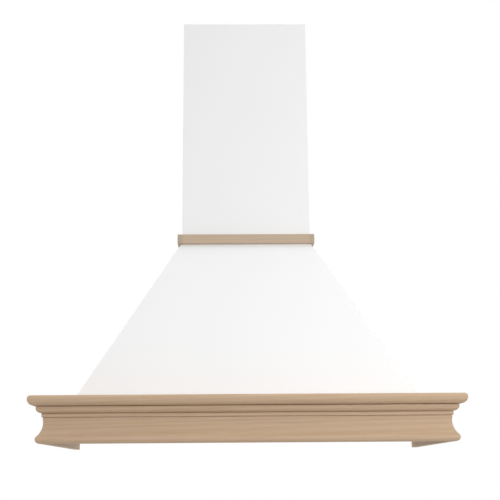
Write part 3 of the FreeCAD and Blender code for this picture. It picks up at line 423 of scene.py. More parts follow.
@dataclass(frozen=True, kw_only=True)
class Galvanised(Finish):
    """Hot-dipped zinc on steel: crystals that each turn the light a little differently."""

    crystal_mm: float = 9.0
    finer: float = 2.6
    small_share: float = 0.35
    bend_mm: float = 5.0
    bend_wide_mm: float = 8.3333
    bloom_mm: float = 50.0
    bloom_share: float = 0.3
    rough: tuple[float, ...] = (0.32, 0.54)
    relief: tuple[float, float] = (0.1, 0.05)
    sockets: tuple[tuple[str, float], ...] = (("Metallic", 1.0),)

    def skin(self, add: Add, where: Outputs) -> Skin:
        """Cells for the crystals, broken by smaller ones, with a cloudy bloom over them.

        Args:
            add: Adds a node to the material's tree.
            where: Outputs of its texture coordinates.

        Returns:
            The patterns.
        """
        place = where["Object"]
        bent = add("TexNoise", {"Vector": place, "Scale": per(self.bend_wide_mm), "Detail": 2.0})["Color"]
        bent = add("VectorMath", {0: bent, "Scale": self.bend_mm * MM}, operation="SCALE")[0]
        bent = add("VectorMath", {0: place, 1: bent}, operation="ADD")[0]
        large, small = [add("TexVoronoi", {"Vector": bent, "Scale": finer * per(self.crystal_mm)})["Color"]
                        for finer in (1.0, self.finer)]
        bloom = add("TexNoise", {"Vector": place, "Scale": per(self.bloom_mm), "Detail": 3.0})["Fac"]
        tone = add("Mix", {0: self.small_share, 2: large, 3: small})[0]
        tone = add("Mix", {0: self.bloom_share, 2: tone, 3: bloom})[0]
        return Skin(tone, tone, tone)


@dataclass(frozen=True, kw_only=True)
class Moulded(Finish):
    """Injection-moulded plastic: the tool's spark-eroded grain, with faint flow marks."""

    grain_mm: float = 0.9
    flow_mm: float = 33.333
    rough: tuple[float, ...] = (0.4, 0.54)

    def skin(self, add: Add, where: Outputs) -> Skin:
        """Fine grain for relief, broad flow for tint and gloss.

        Args:
            add: Adds a node to the material's tree.
            where: Outputs of its texture coordinates.

        Returns:
            The patterns.
        """
        grain = add("TexNoise", {"Vector": where["Object"], "Scale": per(self.grain_mm),
                                 "Detail": 2.0})["Fac"]
        flow = add("TexNoise", {"Vector": where["Object"], "Scale": per(self.flow_mm), "Detail": 2.0,
                                "Distortion": 0.6})["Fac"]
        return Skin(flow, flow, grain)


@dataclass(frozen=True, kw_only=True)
class FrostedLens(Finish):
    """Opal polycarbonate: light passes, but nothing behind it is sharp."""

    haze_mm: float = 16.667
    etch_mm: float = 0.7
    relief: tuple[float, float] = (0.15, 0.05)
    sockets: tuple[tuple[str, float], ...] = (("Roughness", 0.32), ("Transmission Weight", 0.12),
                                              ("IOR", 1.58))

    def skin(self, add: Add, where: Outputs) -> Skin:
        """A cloudy tint and a fine etched relief.

        Args:
            add: Adds a node to the material's tree.
            where: Outputs of its texture coordinates.

        Returns:
            The patterns.
        """
        haze = add("TexNoise", {"Vector": where["Object"], "Scale": per(self.haze_mm), "Detail": 2.0})["Fac"]
        etch = add("TexNoise", {"Vector": where["Object"], "Scale": per(self.etch_mm)})["Fac"]
        return Skin(haze, haze, etch)


# Limewood, planed and sanded but not sealed: pale, pinkish, with a quiet straight figure.
LIMEWOOD = Timber("limewood_bare.x", Slot.RAW_WOOD, "C6AC8F", "B89B7D", blush="C7AA90", end="9E8666")
# The same wood on the collar, from a paler and greyer board.
COLLAR_LIMEWOOD = Timber("limewood_collar.x", Slot.RAW_WOOD, "C5B199", "B49F87", blush="C6AE98",
                         end="AB9F8B")
# Spruce, planed: wide pale bands between thin darker ones.
SPRUCE = Timber("spruce_planed.x", Slot.SOFTWOOD, "D9BE93", "B98F5C", blush="DDBB96", end="A47D4F",
                ring_mm=4.0, ring_share=0.6, fibre_mm=1.6, stretch=30.0, streaks=(0.62, 0.72, 0.2),
                rough=(0.61, 0.78))
# Birch plywood: a pale rotary-cut face, with dark glue lines across its edge.
BIRCH_PLY = Board("birch_plywood", Slot.PLYWOOD, "D8BC92", "C39F72", ply="8A6742", ply_mm=1.5, stretch=9.0)
# Medium-density fibreboard, bare on the inside faces: brown and evenly flecked.
FIBREBOARD = Board("fibreboard_bare", Slot.WHITE_PAINT, "B79A74", "A3855F", fleck_mm=1.2)
# Matt white two-pack lacquer on the outside of the fibreboard: even and soft, with no grain.
WHITE_LACQUER = Lacquer("white_lacquer", Slot.WHITE_PAINT, "F3F3F4", "F5F5F5")
# Stainless sheet, belt-brushed: a warm grey with lines running across the hood.
STAINLESS = BrushedMetal("stainless_brushed", Slot.LINER_STEEL, "C9C8C5", "B4B3B0")
# Anodised aluminium, satin: pale and a little dull.
ALUMINIUM = BrushedMetal("aluminium_anodised", Slot.FILTER_ALUMINIUM, "D3D4D4", "BBBCBD", brush=Axis.Y,
                         rough=(0.27, 0.44))
# Zinc-plated steel: a cool bluish passivated film.
ZINC = BrushedMetal("zinc_plated_steel", Slot.ZINC_PLATE, "C8CCD2", "A9ADB4", line_mm=0.6, stretch=2.0)
# Hot-dipped galvanised sheet: pale crystals of differing greys.
GALVANISED_SHEET = Galvanised("galvanised_sheet", Slot.GALVANISED, "C6CACC", "9DA2A6")
# Black flame-retardant polypropylene, grained: a soft dark sheen.
BLACK_PLASTIC = Moulded("polypropylene_black", Slot.BLACK_PLASTIC, "1C1D1E", "27282A")
# Buttons: dark grey acrylonitrile, smoother than the housings.
BUTTON_PLASTIC = Moulded("button_plastic_grey", Slot.BUTTON_PLASTIC, "3A3C3E", "45474A", grain_mm=0.5,
                         rough=(0.3, 0.44))
# Motor can: varnished steel with the lines of its laminated stack.
MOTOR_STEEL = BrushedMetal("motor_can_steel", Slot.MOTOR_STEEL, "8E9092", "6C6E70", brush=Axis.Y, line_mm=1.4,
                           stretch=80.0, rough=(0.33, 0.5), relief=(0.5, 0.05))
# Lamp cans: pressed aluminium under a satin nickel film, warmer and smoother than the liner.
LAMP_METAL = BrushedMetal("lamp_satin_nickel", Slot.LAMP_METAL, "C9C6C0", "BEBBB5", line_mm=0.5, stretch=3.0,
                          rough=(0.17, 0.34), relief=(0.05, 0.05))
# Opal lens: milky white with a faint sheen.
LAMP_LENS = FrostedLens("lens_opal", Slot.LAMP_GLASS, "EDEFEF", "E2E5E6")


# ------------------------------------------------------------------ meshes


def object_of(name: str, data: bpy.types.ID) -> Object:
    """Link a mesh, lamp or camera into the scene.

    Args:
        name: The object's name.
        data: What it shows.

    Returns:
        The object, at the origin.
    """
    made = bpy.data.objects.new(name, data)
    bpy.context.scene.collection.objects.link(made)
    return made


def finished(name: str, model: Model) -> Object:
    """Turn a model under way into an object, and free it.

    Args:
        name: The object's name.
        model: The model.

    Returns:
        The object, at the origin.
    """
    mesh = bpy.data.meshes.new(name)
    model.to_mesh(mesh)
    model.free()
    return object_of(name, mesh)


def crisp(piece: Object, degrees: float = 40.0) -> Object:
    """Shade a piece smooth, except across its sharper edges.

    Args:
        piece: The object.
        degrees: The angle from which an edge stays sharp.

    Returns:
        The same object.
    """
    piece.data.shade_smooth()
    piece.data.set_sharp_from_angle(angle=math.radians(degrees))
    return piece


def settled(piece: Object) -> Object:
    """Apply an object's modifiers.

    Args:
        piece: The object; its modifiers are removed.

    Returns:
        The same object with a plain mesh.
    """
    graph = bpy.context.evaluated_depsgraph_get()
    mesh = bpy.data.meshes.new_from_object(piece.evaluated_get(graph), preserve_all_data_layers=True,
                                           depsgraph=graph)
    piece.modifiers.clear()
    piece.data = mesh
    return piece


def welded(node: str, flat: float = 0.5) -> Model:
    """A model of a CAD node.

    Args:
        node: The CAD node.
        flat: Faces that meet within this angle, in degrees, become one.

    Returns:
        The model, with its loose triangles welded and its flat faces whole.
    """
    model = bmesh.new()
    model.from_mesh(frame["nodes"][node].data)
    bmesh.ops.remove_doubles(model, verts=model.verts, dist=WELD)
    bmesh.ops.dissolve_limit(model, angle_limit=math.radians(flat), verts=model.verts, edges=model.edges)
    return model


def ease(piece: Object, width_mm: float, segments: int = 2, angle: float = 28.0,
         sharp: float = 50.0) -> Object:
    """Break every sharp edge, and shade flats flat and edges round.

    Args:
        piece: The object.
        width_mm: Width of the broken edge.
        segments: Faces across it.
        angle: Edges sharper than this, in degrees, are broken.
        sharp: Edges that are still sharper than this stay crisp.

    Returns:
        The same object, its modifiers applied.
    """
    bevel = piece.modifiers.new("eased", "BEVEL")
    bevel.width = width_mm * MM
    bevel.segments = segments
    bevel.limit_method = "ANGLE"
    bevel.angle_limit = math.radians(angle)
    bevel.use_clamp_overlap = True
    crisp(settled(piece), sharp)
    weighted = piece.modifiers.new("weighted", "WEIGHTED_NORMAL")
    weighted.keep_sharp = True
    return settled(piece)


def skinned(name: str, rows: Sequence[list[Point]], looped: bool = False) -> Object:
    """A closed skin over rows of points.

    Args:
        name: The object's name.
        rows: As many points in each, in millimetres, in their order round the shape.
        looped: Whether the last row meets the first; if not, both are closed off.

    Returns:
        The object, with its faces outwards.
    """
    model = bmesh.new()
    spots = [[model.verts.new([c * MM for c in point]) for point in row] for row in rows]
    faces = [] if looped else [spots[0], spots[-1]]
    for row, after in zip(spots, spots[1:] + spots[:1] if looped else spots[1:]):
        faces += zip(row, row[1:] + row[:1], after[1:] + after[:1], after)
    for face in faces:
        if len({tuple(vert.co) for vert in face}) > 2:
            model.faces.new(face)
    bmesh.ops.remove_doubles(model, verts=model.verts, dist=TINY)
    bmesh.ops.recalc_face_normals(model, faces=model.faces)
    return finished(name, model)


def circle(radius: float, segments: int) -> list[tuple[float, float]]:
    """Points round the origin at a radius."""
    return [(radius * math.cos(math.tau * step / segments), radius * math.sin(math.tau * step / segments))
            for step in range(segments)]


def turned(name: str, profile: Profile, centre: Vector = Vector(), axis: Axis = Axis.Z,
           segments: int = 64) -> Object:
    """A closed turned shape.

    Args:
        name: The object's name.
        profile: (radius, height) in millimetres round the section; first and last points join, and a
            radius of 0 lies on the axis.
        centre: A point on the axis, from which heights count.
        axis: The axis of turning.
        segments: Faces round it.

    Returns:
        The object, with its faces outwards.
    """
    rows = [[(r * x, r * y, h) for r, h in profile] for x, y in circle(1.0, segments)]
    piece = skinned(name, rows, looped=True)
    piece.data.transform(Matrix.Translation(centre) @ Euler(axis.turn()).to_matrix().to_4x4())
    return crisp(piece)


def block(model: Model, low: Point, high: Point) -> None:
    """Add a closed box to a model under way.

    Args:
        model: The model.
        low: The box's lowest corner.
        high: Its highest corner.
    """
    size = [b - a for a, b in zip(low, high)]
    middle = [(a + b) / 2 for a, b in zip(low, high)]
    bmesh.ops.create_cube(model, size=1.0, matrix=Matrix.Translation(middle) @ Matrix.Diagonal((*size, 1.0)))


def bars(name: str, corners: Iterable[tuple[Point, Point]], ease_mm: float, segments: int = 2) -> Object:
    """Square bars with broken edges.

    Args:
        name: The object's name.
        corners: The lowest and the highest corner of each.
        ease_mm: Width of the broken edges.
        segments: Faces across them.

    Returns:
        One object of them all.
    """
    model = bmesh.new()
    for low, high in corners:
        block(model, low, high)
    return ease(finished(name, model), ease_mm, segments)


def grooved(piece: Object, low: Point, high: Point, place: Matrix = Matrix.Identity(4)) -> None:
    """Cut a straight groove out of a piece.

    Args:
        piece: The object.
        low: Lowest corner of what is cut away.
        high: Its highest corner.
        place: Where the two corners' own axes lie.
    """
    model = bmesh.new()
    block(model, low, high)
    model.transform(place)
    cutter = finished("groove_cutter", model)
    cut = piece.modifiers.new("groove", "BOOLEAN")
    cut.operation = "DIFFERENCE"
    cut.solver = "EXACT"
    cut.object = cutter
    settled(piece)
    bpy.data.objects.remove(cutter)


def joined(name: str, *pieces: Object) -> Object:
    """One object from several, which are removed.

    Args:
        name: The new object's name.
        pieces: The objects.

    Returns:
        The joined object.
    """
    model = bmesh.new()
    for piece in pieces:
        model.from_mesh(piece.data)
        bpy.data.objects.remove(piece)
    return crisp(finished(name, model))


def spot(node: str, shares: Point = MIDDLE) -> Vector:
    """A point of a CAD node's box, at shares of its width, depth and height."""
    low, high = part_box(node)
    return Vector([a + (b - a) * share for a, b, share in zip(low, high, shares)])


def size_mm(node: str) -> Vector:
    """A CAD node's width, depth and height in millimetres."""
    low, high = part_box(node)
    return (high - low) / MM


def islands(node: str) -> list[tuple[Vector, Vector]]:
    """The boxes of a CAD node's separate solids.

    Args:
        node: The CAD node.

    Returns:
        Lowest and highest corner of each.
    """
    model = welded(node)
    waiting, boxes = set(model.verts), []
    while waiting:
        group, edge = [], [waiting.pop()]
        while edge:
            vert = edge.pop()
            group.append(vert.co)
            found = {e.other_vert(vert) for e in vert.link_edges} & waiting
            waiting -= found
            edge.extend(found)
        boxes.append(tuple(Vector([pick(co[i] for co in group) for i in range(3)]) for pick in (min, max)))
    model.free()
    return sorted(boxes, key=lambda pair: tuple(round(c, 5) for c in pair[0]))


def dress(piece: Object, finish: Finish, *nodes: str) -> Object:
    """Give a piece its finish and its body, and hide the nodes that it stands for.

    Args:
        piece: The object.
        finish: What its surface is.
        nodes: The CAD nodes it replaces; with none, it rides on the hood.

    Returns:
        The same object.
    """
    if not piece.data.materials or piece.data.materials[0] is None:
        piece.data.materials.clear()
        piece.data.materials.append(material_of(finish))
    if nodes:
        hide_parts(*nodes)
    body = frame["nodes"][nodes[0]]["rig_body"] if nodes else "hood"
    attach(piece, body)
    log.info("%s: %s, %d faces, on %s", piece.name, finish.label, len(piece.data.polygons), body)
    return piece


def dress_node(node: str, finish: Finish, ease_mm: float, segments: int = 2) -> Object:
    """Replace a CAD node with a copy whose edges are broken.

    Args:
        node: The CAD node.
        finish: What its surface is.
        ease_mm: Width of the broken edges.
        segments: Faces across them.

    Returns:
        The new piece.
    """
    return dress(ease(finished(node + "_eased", welded(node)), ease_mm, segments), finish, node)


# ------------------------------------------------------------------ patterns


class Pattern:
    """A Geometry Nodes tree with named inputs, grown into a plain mesh."""

    def __init__(self, name: str, sizes: dict[str, object]) -> None:
        """Start the tree.

        Args:
            name: The tree's name.
            sizes: Each input's value by its name.
        """
        self.name = name
        self.tree = bpy.data.node_groups.new(name, "GeometryNodeTree")
        self.add = partial(add_node, self.tree)
        face = self.tree.interface
        face.new_socket("Geometry", in_out="INPUT", socket_type="NodeSocketGeometry")
        self.values = {}
        for label, value in sizes.items():
            item = face.new_socket(label, in_out="INPUT", socket_type=SOCKETS[type(value)])
            self.values[item.identifier] = value
        face.new_socket("Geometry", in_out="OUTPUT", socket_type="NodeSocketGeometry")
        self.given = self.add("NodeGroupInput")

    def grow(self, result: Socket, places: Sequence[Vector], finish: Finish) -> Object:
        """Close the tree, evaluate it on its points, and keep the plain mesh.

        Args:
            result: The geometry to keep.
            places: The points that the tree starts from.
            finish: The material of the result.

        Returns:
            The object, with no modifier left.
        """
        real = self.add("GeometryNodeRealizeInstances", {0: result})[0]
        done = self.add("GeometryNodeSetMaterial", {0: real, "Material": material_of(finish)})[0]
        self.add("NodeGroupOutput", {0: done})
        seed = bpy.data.meshes.new(self.name)
        seed.from_pydata([tuple(place) for place in places], [], [])
        piece = object_of(self.name, seed)
        modifier = piece.modifiers.new("pattern", "NODES")
        modifier.node_group = self.tree
        for identifier, value in self.values.items():
            modifier[identifier] = value
        return crisp(settled(piece))


def repeated(name: str, shape: Object, places: Sequence[Vector], finish: Finish, axis: Axis = Axis.Z,
             count: int = 0) -> Object:
    """A small shape at each place, or in a ring round it.

    Args:
        name: The result's name.
        shape: The shape about the origin; it is removed.
        places: Where its origin goes.
        finish: The material.
        axis: What its own Z is laid along or, for a ring, the ring's axis.
        count: How many a ring has; 0 for a single one.

    Returns:
        One object of them all.
    """
    pattern = Pattern(name, {"Shape": shape, "Count": max(count, 1), "Laid": NONE if count else axis.turn(),
                             "Ring axis": tuple(axis.unit()) if count else NONE})
    given, add = pattern.given, pattern.add
    points = add("GeometryNodeDuplicateElements", {"Geometry": given["Geometry"], "Amount": given["Count"]},
                 domain="POINT")
    step = add("Math", {0: math.tau, 1: given["Count"]}, operation="DIVIDE")[0]
    angle = add("Math", {0: points[1], 1: step}, operation="MULTIPLY")[0]
    turn = add("VectorMath", {0: given["Ring axis"], "Scale": angle}, operation="SCALE")[0]
    turn = add("VectorMath", {0: given["Laid"], 1: turn}, operation="ADD")[0]
    turn = add("FunctionNodeEulerToRotation", {0: turn})[0]
    shaped = add("GeometryNodeObjectInfo", {"Object": given["Shape"]})["Geometry"]
    placed = add("GeometryNodeInstanceOnPoints", {"Points": points[0], "Instance": shaped,
                                                  "Rotation": turn})[0]
    piece = pattern.grow(placed, places, finish)
    bpy.data.objects.remove(shape)
    return piece


# ------------------------------------------------------------------ the cover


@dataclass(frozen=True)
class Line:
    """A dark line along the moulding: its drop below the top, its height, and its depth from the face."""

    drop_mm: float
    tall_mm: float
    deep_mm: float


@dataclass
class BaseFrame:
    """The bare limewood base: cap boards with a thumbnail nose over cove mouldings.

    The joint under the nose stands a little open, and the cutter left sharp quirks under the ovolo and the
    band. All three show as dark lines.
    """

    ease_mm: float = 0.45
    rail_ease_mm: float = 1.0
    joint: Line = Line(0.0, 1.2, 5.5)
    quirk: Line = Line(14.0, 1.4, 12.2)
    band: Line = Line(22.6, 0.7, 14.5)

    def build(self) -> None:
        """Ease and dress the members, each with its grain along its length."""
        for name, grain in (("front", Axis.X), ("left", Axis.Y), ("right", Axis.Y)):
            dress_node("cap_board_" + name, LIMEWOOD.along(grain), self.ease_mm)
            node = "cove_moulding_" + name
            piece = finished(node + "_eased", welded(node))
            self.cut_lines(piece, node, name)
            dress(ease(piece, self.ease_mm), LIMEWOOD.along(grain), node)
        dress_node("base_back_rail", SPRUCE, self.rail_ease_mm)

    def cut_lines(self, piece: Object, node: str, name: str) -> None:
        """Open the joint and the quirks along a moulding's room side.

        Args:
            piece: The moulding.
            node: Its CAD node.
            name: The side of the hood it is on.
        """
        low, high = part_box(node)
        over = Vector((MM, MM, 0.0))
        for line in (self.joint, self.quirk, self.band):
            start, end = low - over, high + over
            start.z = high.z - (line.drop_mm + line.tall_mm) * MM
            end.z = high.z - line.drop_mm * MM + (0.0 if line.drop_mm else MM)
            if name == "front":
                end.y = low.y + line.deep_mm * MM
            elif name == "left":
                end.x = low.x + line.deep_mm * MM
            else:
                start.x = high.x - line.deep_mm * MM
            grooved(piece, start, end)


@dataclass
class PaintedShell:
    """The tapered canopy and the square chimney: white outside, bare fibreboard within."""

    ease_mm: float = 0.5
    board_ease_mm: float = 0.6
    batten_ease_mm: float = 1.2
    inside: float = -0.6

    def build(self) -> None:
        """Dress the panels, then the battens that carry them."""
        for part in ("canopy_", "chimney_"):
            for name, outward in (("front", -Axis.Y.unit()), ("left", -Axis.X.unit()),
                                  ("right", Axis.X.unit())):
                self.panel(part + name, outward)
        for name in SIDES:
            for batten in ("hip_batten_", "back_batten_", "chimney_batten_"):
                dress_node(batten + name, SPRUCE.along(Axis.Z), self.batten_ease_mm)
        dress_node("chimney_back_rail", SPRUCE, self.batten_ease_mm)
        dress_node("neck_board", BIRCH_PLY, self.board_ease_mm)

    def panel(self, node: str, outward: Vector) -> None:
        """One panel, lacquered everywhere but on its inside.

        Args:
            node: Its CAD node.
            outward: The way its room side faces, roughly.
        """
        piece = ease(finished(node + "_eased", welded(node)), self.ease_mm)
        piece.data.materials.clear()
        for finish in (WHITE_LACQUER, FIBREBOARD):
            piece.data.materials.append(material_of(finish))
        for face in piece.data.polygons:
            face.material_index = int(face.normal.dot(outward) < self.inside)
        dress(piece, WHITE_LACQUER, node)


@dataclass
class Collar:
    """Three strips of bare limewood round the foot of the chimney, butted at the corners."""

    ease_mm: float = 0.9

    def build(self) -> None:
        """Ease and dress the strips; the side strips show their end grain to the room."""
        dress_node("collar_front", COLLAR_LIMEWOOD, self.ease_mm)
        for name in SIDES:
            dress_node("collar_" + name, COLLAR_LIMEWOOD.along(Axis.Y), self.ease_mm)


@dataclass(frozen=True)
class Screw:
    """A pan-head screw with a cross recess and a rolled thread."""

    head_mm: float = 7.6
    head_high_mm: float = 2.4
    dome_from: float = 0.55
    dome_drop: float = 0.55
    dome_power: float = 1.6
    recess_mm: float = 2.3
    recess_wide_mm: float = 0.62
    recess_deep_mm: float = 1.3
    recess_end_mm: float = 0.5
    recess_wall_mm: float = 0.25
    shank_mm: float = 3.6
    pitch_mm: float = 1.4
    thread_from_mm: float = 0.8
    thread_to_mm: float = 2.0
    root_share: float = 0.78
    crest_share: float = 0.35
    point_from: float = 0.7
    point_mm: float = 1.6
    tip_mm: float = 0.05
    rings: int = 12
    segments: int = 48

    def shape(self, length_mm: float) -> Object:
        """The screw about the origin: its head below, its shank up from the head's underside.

        Args:
            length_mm: Length under the head.

        Returns:
            The object.
        """
        radius, shank, rows = self.head_mm / 2, self.shank_mm / 2, []
        for ring in range(self.rings + 1):
            fall = max(0.0, ring / self.rings - self.dome_from) / (1 - self.dome_from)
            crown = -self.head_high_mm * (1 - self.dome_drop * fall ** self.dome_power)
            rows.append([(x, y, crown + self.recess_deep_mm * max(self.arm(x, y), self.arm(y, x)))
                         for x, y in circle(radius * ring / self.rings, self.segments)])
        under = [(radius, 0.0), (shank, 0.0)]
        turns = int(length_mm / self.pitch_mm)
        for index in range(turns):
            low = self.thread_from_mm + index * (length_mm - self.thread_from_mm - self.thread_to_mm) / turns
            under += [(shank * self.root_share, low), (shank, low + self.crest_share * self.pitch_mm)]
        under += [(shank * self.point_from, length_mm - self.point_mm), (self.tip_mm, length_mm)]
        rows += [[(x, y, h) for x, y in circle(r, self.segments)] for r, h in under]
        return crisp(skinned("screw_shape", rows))

    def arm(self, along: float, across: float) -> float:
        """How deep one arm pair of the recess is at a point of the head.

        Args:
            along: The point's distance from the middle along the arms.
            across: Its distance across them.

        Returns:
            0 outside the recess to 1 at its floor.
        """
        reach = max(0.0, min(1.0, (self.recess_mm - abs(along)) / self.recess_end_mm))
        wall = (self.recess_wide_mm + self.recess_wall_mm - abs(across)) / self.recess_wall_mm
        return reach * max(0.0, min(1.0, wall))

    def drive(self, node: str, axis: Axis) -> None:
        """Replace a CAD node's plain screws.

        Args:
            node: The node.
            axis: Their direction, from the head to the tip.
        """
        boxes = islands(node)
        low, high = boxes[0]
        length_mm = (high[axis.value] - low[axis.value]) / MM - self.head_high_mm
        seats = []
        for low, high in boxes:
            seat = (low + high) / 2
            seat[axis.value] = low[axis.value] + self.head_high_mm * MM
            seats.append(seat)
        dress(repeated(node + "_turned", self.shape(length_mm), seats, ZINC, axis), ZINC, node)


@dataclass
class Hanging:
    """The two bevelled cleats, the rail and its screws."""

    ease_mm: float = 1.0
    screw: Screw = Screw()

    def build(self) -> None:
        """Dress the timbers and set the screws."""
        for node in ("wall_cleat", "hanging_cleat", "hanging_rail"):
            dress_node(node, SPRUCE, self.ease_mm)
        self.screw.drive("rail_screws", Axis.Y)


# ------------------------------------------------------------------ the extractor


@dataclass
class LinerAndCase:
    """The folded liner, its screws, and the galvanised case with its beads, rivets and spot welds."""

    ease_mm: float = 0.35
    screw: Screw = Screw()
    flange_mm: float = 15.0
    bead_shares: tuple[float, ...] = (0.36, 0.7)
    bead_half_mm: float = 4.5
    bead_rise_mm: float = 1.6
    bead_sunk_mm: float = 0.5
    bead_inset_mm: float = 53.0
    bead_short: float = 2.2
    bead_ease_mm: float = 1.4
    bead_segments: int = 4
    rivet: Profile = ((0, 0.35), (0.9, 0.35), (1.1, 0.95), (1.5, 1.1), (2.25, 0.85), (3, 0.25), (3, -0.3),
                      (0, -0.3))
    rivet_inset_mm: float = 24.0
    rivets: int = 4
    rivet_start: float = 0.6
    weld: Profile = ((0, 0), (1.56, 0), (2.6, -0.22), (2.6, -0.6), (0, -0.6))
    weld_inset_mm: float = 22.0
    weld_pitch_mm: float = 48.0

    def build(self) -> None:
        """Dress the sheets, set the screws, and press, rivet and weld the case."""
        dress_node("liner", STAINLESS, self.ease_mm)
        dress_node("extractor_case", GALVANISED_SHEET, self.ease_mm)
        self.screw.drive("liner_screws", Axis.Z)
        low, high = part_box("extractor_case")
        wall = high.y - self.flange_mm * MM
        dress(bars("case_beads", self.beads(low, high, wall), self.bead_ease_mm, self.bead_segments),
              GALVANISED_SHEET)
        # Blind rivets down the corners of the case's back, where the ends are lapped to it.
        places = [Vector((x, wall, low.z + (high.z - low.z) * (step + self.rivet_start) / self.rivets))
                  for x in (low.x + self.rivet_inset_mm * MM, high.x - self.rivet_inset_mm * MM)
                  for step in range(self.rivets)]
        dome = turned("rivet_shape", self.rivet, segments=20)
        dress(repeated("case_rivets", dome, places, ZINC, Axis.Y), ZINC)
        # Shallow spot-weld dimples along the case's upper seams.
        inset = self.weld_inset_mm * MM
        left, right = low.x + self.flange_mm * MM + inset, high.x - self.flange_mm * MM - inset
        count = int((right - left) / (self.weld_pitch_mm * MM))
        places = [Vector((left + (right - left) * step / count, y, high.z))
                  for y in (low.y + inset, high.y - inset) for step in range(count + 1)]
        dimple = turned("weld_shape", self.weld, segments=20)
        dress(repeated("case_spot_welds", dimple, places, GALVANISED_SHEET), GALVANISED_SHEET)

    def beads(self, low: Vector, high: Vector, wall: float) -> Iterable[tuple[Point, Point]]:
        """Two stiffening beads out of the case's back and of each end.

        Args:
            low: The case's lowest corner.
            high: Its highest corner.
            wall: Where its back wall stands.

        Yields:
            The corners of each bead; the left end's are short, clear of the terminal box.
        """
        sunk, rise, half = self.bead_sunk_mm * MM, self.bead_rise_mm * MM, self.bead_half_mm * MM
        edge, inset = self.flange_mm * MM, self.bead_inset_mm * MM
        for share in self.bead_shares:
            z = low.z + (high.z - low.z) * share
            yield (low.x + inset, wall - sunk, z - half), (high.x - inset, wall + rise, z + half)
            yield ((low.x + edge - rise, low.y + inset, z - half),
                   (low.x + edge + sunk, low.y + self.bead_short * inset, z + half))
            yield ((high.x - edge - sunk, low.y + inset, z - half),
                   (high.x - edge + rise, high.y - inset, z + half))


@dataclass
class Blower:
    """Scroll halves, motor with its bracket and shaft, and the drum impeller."""

    case_ease_mm: float = 0.5
    bracket_ease_mm: float = 0.6
    shaft_ease_mm: float = 0.4
    can_low: Profile = ((6, 0), (3, 1.5), (3, 4), (1.5, 5.5))
    can_high: Profile = ((1.5, 5.5), (3, 4), (3, 1), (4, 0))
    motor_ribs: int = 30
    rib_mm: tuple[float, ...] = (6.0, 3.0, 1.1)
    rib_ease_mm: float = 0.5
    ring_wide_mm: float = 12.0
    ring_tall_mm: float = 2.6
    ring: Profile = ((0, 0), (0, 2), (-1, 2.6))
    hub: Profile = ((18, 1.5), (12, 3), (9, 4.5), (8.6, 8.5), (4.05, 8.5))
    hub_bore_mm: float = 4.05
    hub_inset_mm: float = 1.0
    hub_half_mm: float = 1.5
    round_segments: int = 96
    blades: int = 24
    blade_steps: int = 6
    blade_mm: float = 1.1
    blade_thins: float = 0.35
    blade_lean: float = 0.10
    blade_back: float = 0.03
    blade_gaps_mm: tuple[float, ...] = (0.8, 0.5, 0.5)

    def build(self) -> None:
        """Dress the sheet metal, then build the motor and the impeller."""
        for name in SIDES:
            dress_node("blower_half_" + name, GALVANISED_SHEET, self.case_ease_mm)
        dress_node("motor_bracket", GALVANISED_SHEET, self.bracket_ease_mm)
        dress_node("motor_shaft", ZINC, self.shaft_ease_mm)
        self.motor()
        self.impeller()

    def motor(self) -> None:
        """A can with rolled ends and ribs round its middle."""
        centre, (half, radius, _) = spot("motor"), size_mm("motor") / 2
        body = turned("motor_can", [(0, -half), *((radius - a, b - half) for a, b in self.can_low),
                                    *((radius - a, half - b) for a, b in self.can_high), (0, half)],
                      centre, Axis.X)
        short, foot, thick = self.rib_mm
        rib = bars("motor_rib", [(Vector((short - half, radius - foot, -thick)) * MM,
                                  Vector((half - short, radius, thick)) * MM)], self.rib_ease_mm)
        ribs = repeated("motor_ribs", rib, [centre], MOTOR_STEEL, Axis.X, self.motor_ribs)
        dress(joined("motor_turned", body, ribs), MOTOR_STEEL, "motor")

    def impeller(self) -> None:
        """Forward-curved blades between two rings, on a ribbed hub disc."""
        centre, (half, radius, _) = spot("impeller"), size_mm("impeller") / 2
        inner = radius - self.ring_wide_mm
        rings = [turned("impeller_ring", [*((radius + a, at + b) for a, b in self.ring),
                                          *((inner - a, at + b) for a, b in reversed(self.ring))],
                        centre, Axis.X, self.round_segments) for at in (-half, half - self.ring_tall_mm)]
        web, thick = radius - self.hub_inset_mm, self.hub_half_mm
        hub = turned("impeller_hub", [(self.hub_bore_mm, -thick), (web, -thick), (web, thick), *self.hub],
                     centre, Axis.X, self.round_segments)
        inside, outside, end = self.blade_gaps_mm
        blades = repeated("impeller_blades", self.blade(inner + inside, radius - outside, half - end),
                          [centre], BLACK_PLASTIC, Axis.X, self.blades)
        dress(joined("impeller_moulded", *rings, hub, blades), BLACK_PLASTIC, "impeller")

    def blade(self, inner: float, outer: float, half: float) -> Object:
        """One curved blade standing at the top of the ring, all sizes in millimetres.

        Args:
            inner: Radius where it begins.
            outer: Radius where it ends.
            half: Half its length along the axis.

        Returns:
            The object about the origin.
        """
        rows = []
        for step in range(self.blade_steps + 1):
            share = step / self.blade_steps
            r = inner + (outer - inner) * share
            lean = self.blade_lean * math.sin(share * math.pi / 2) ** 2 - self.blade_back * share
            thick = self.blade_mm / 2 * (1 - self.blade_thins * share) / r
            rows.append([(x, r * math.cos(lean + side * thick), r * math.sin(lean + side * thick))
                         for x, side in ((-half, -1), (half, -1), (half, 1), (-half, 1))])
        return skinned("blade_shape", rows)


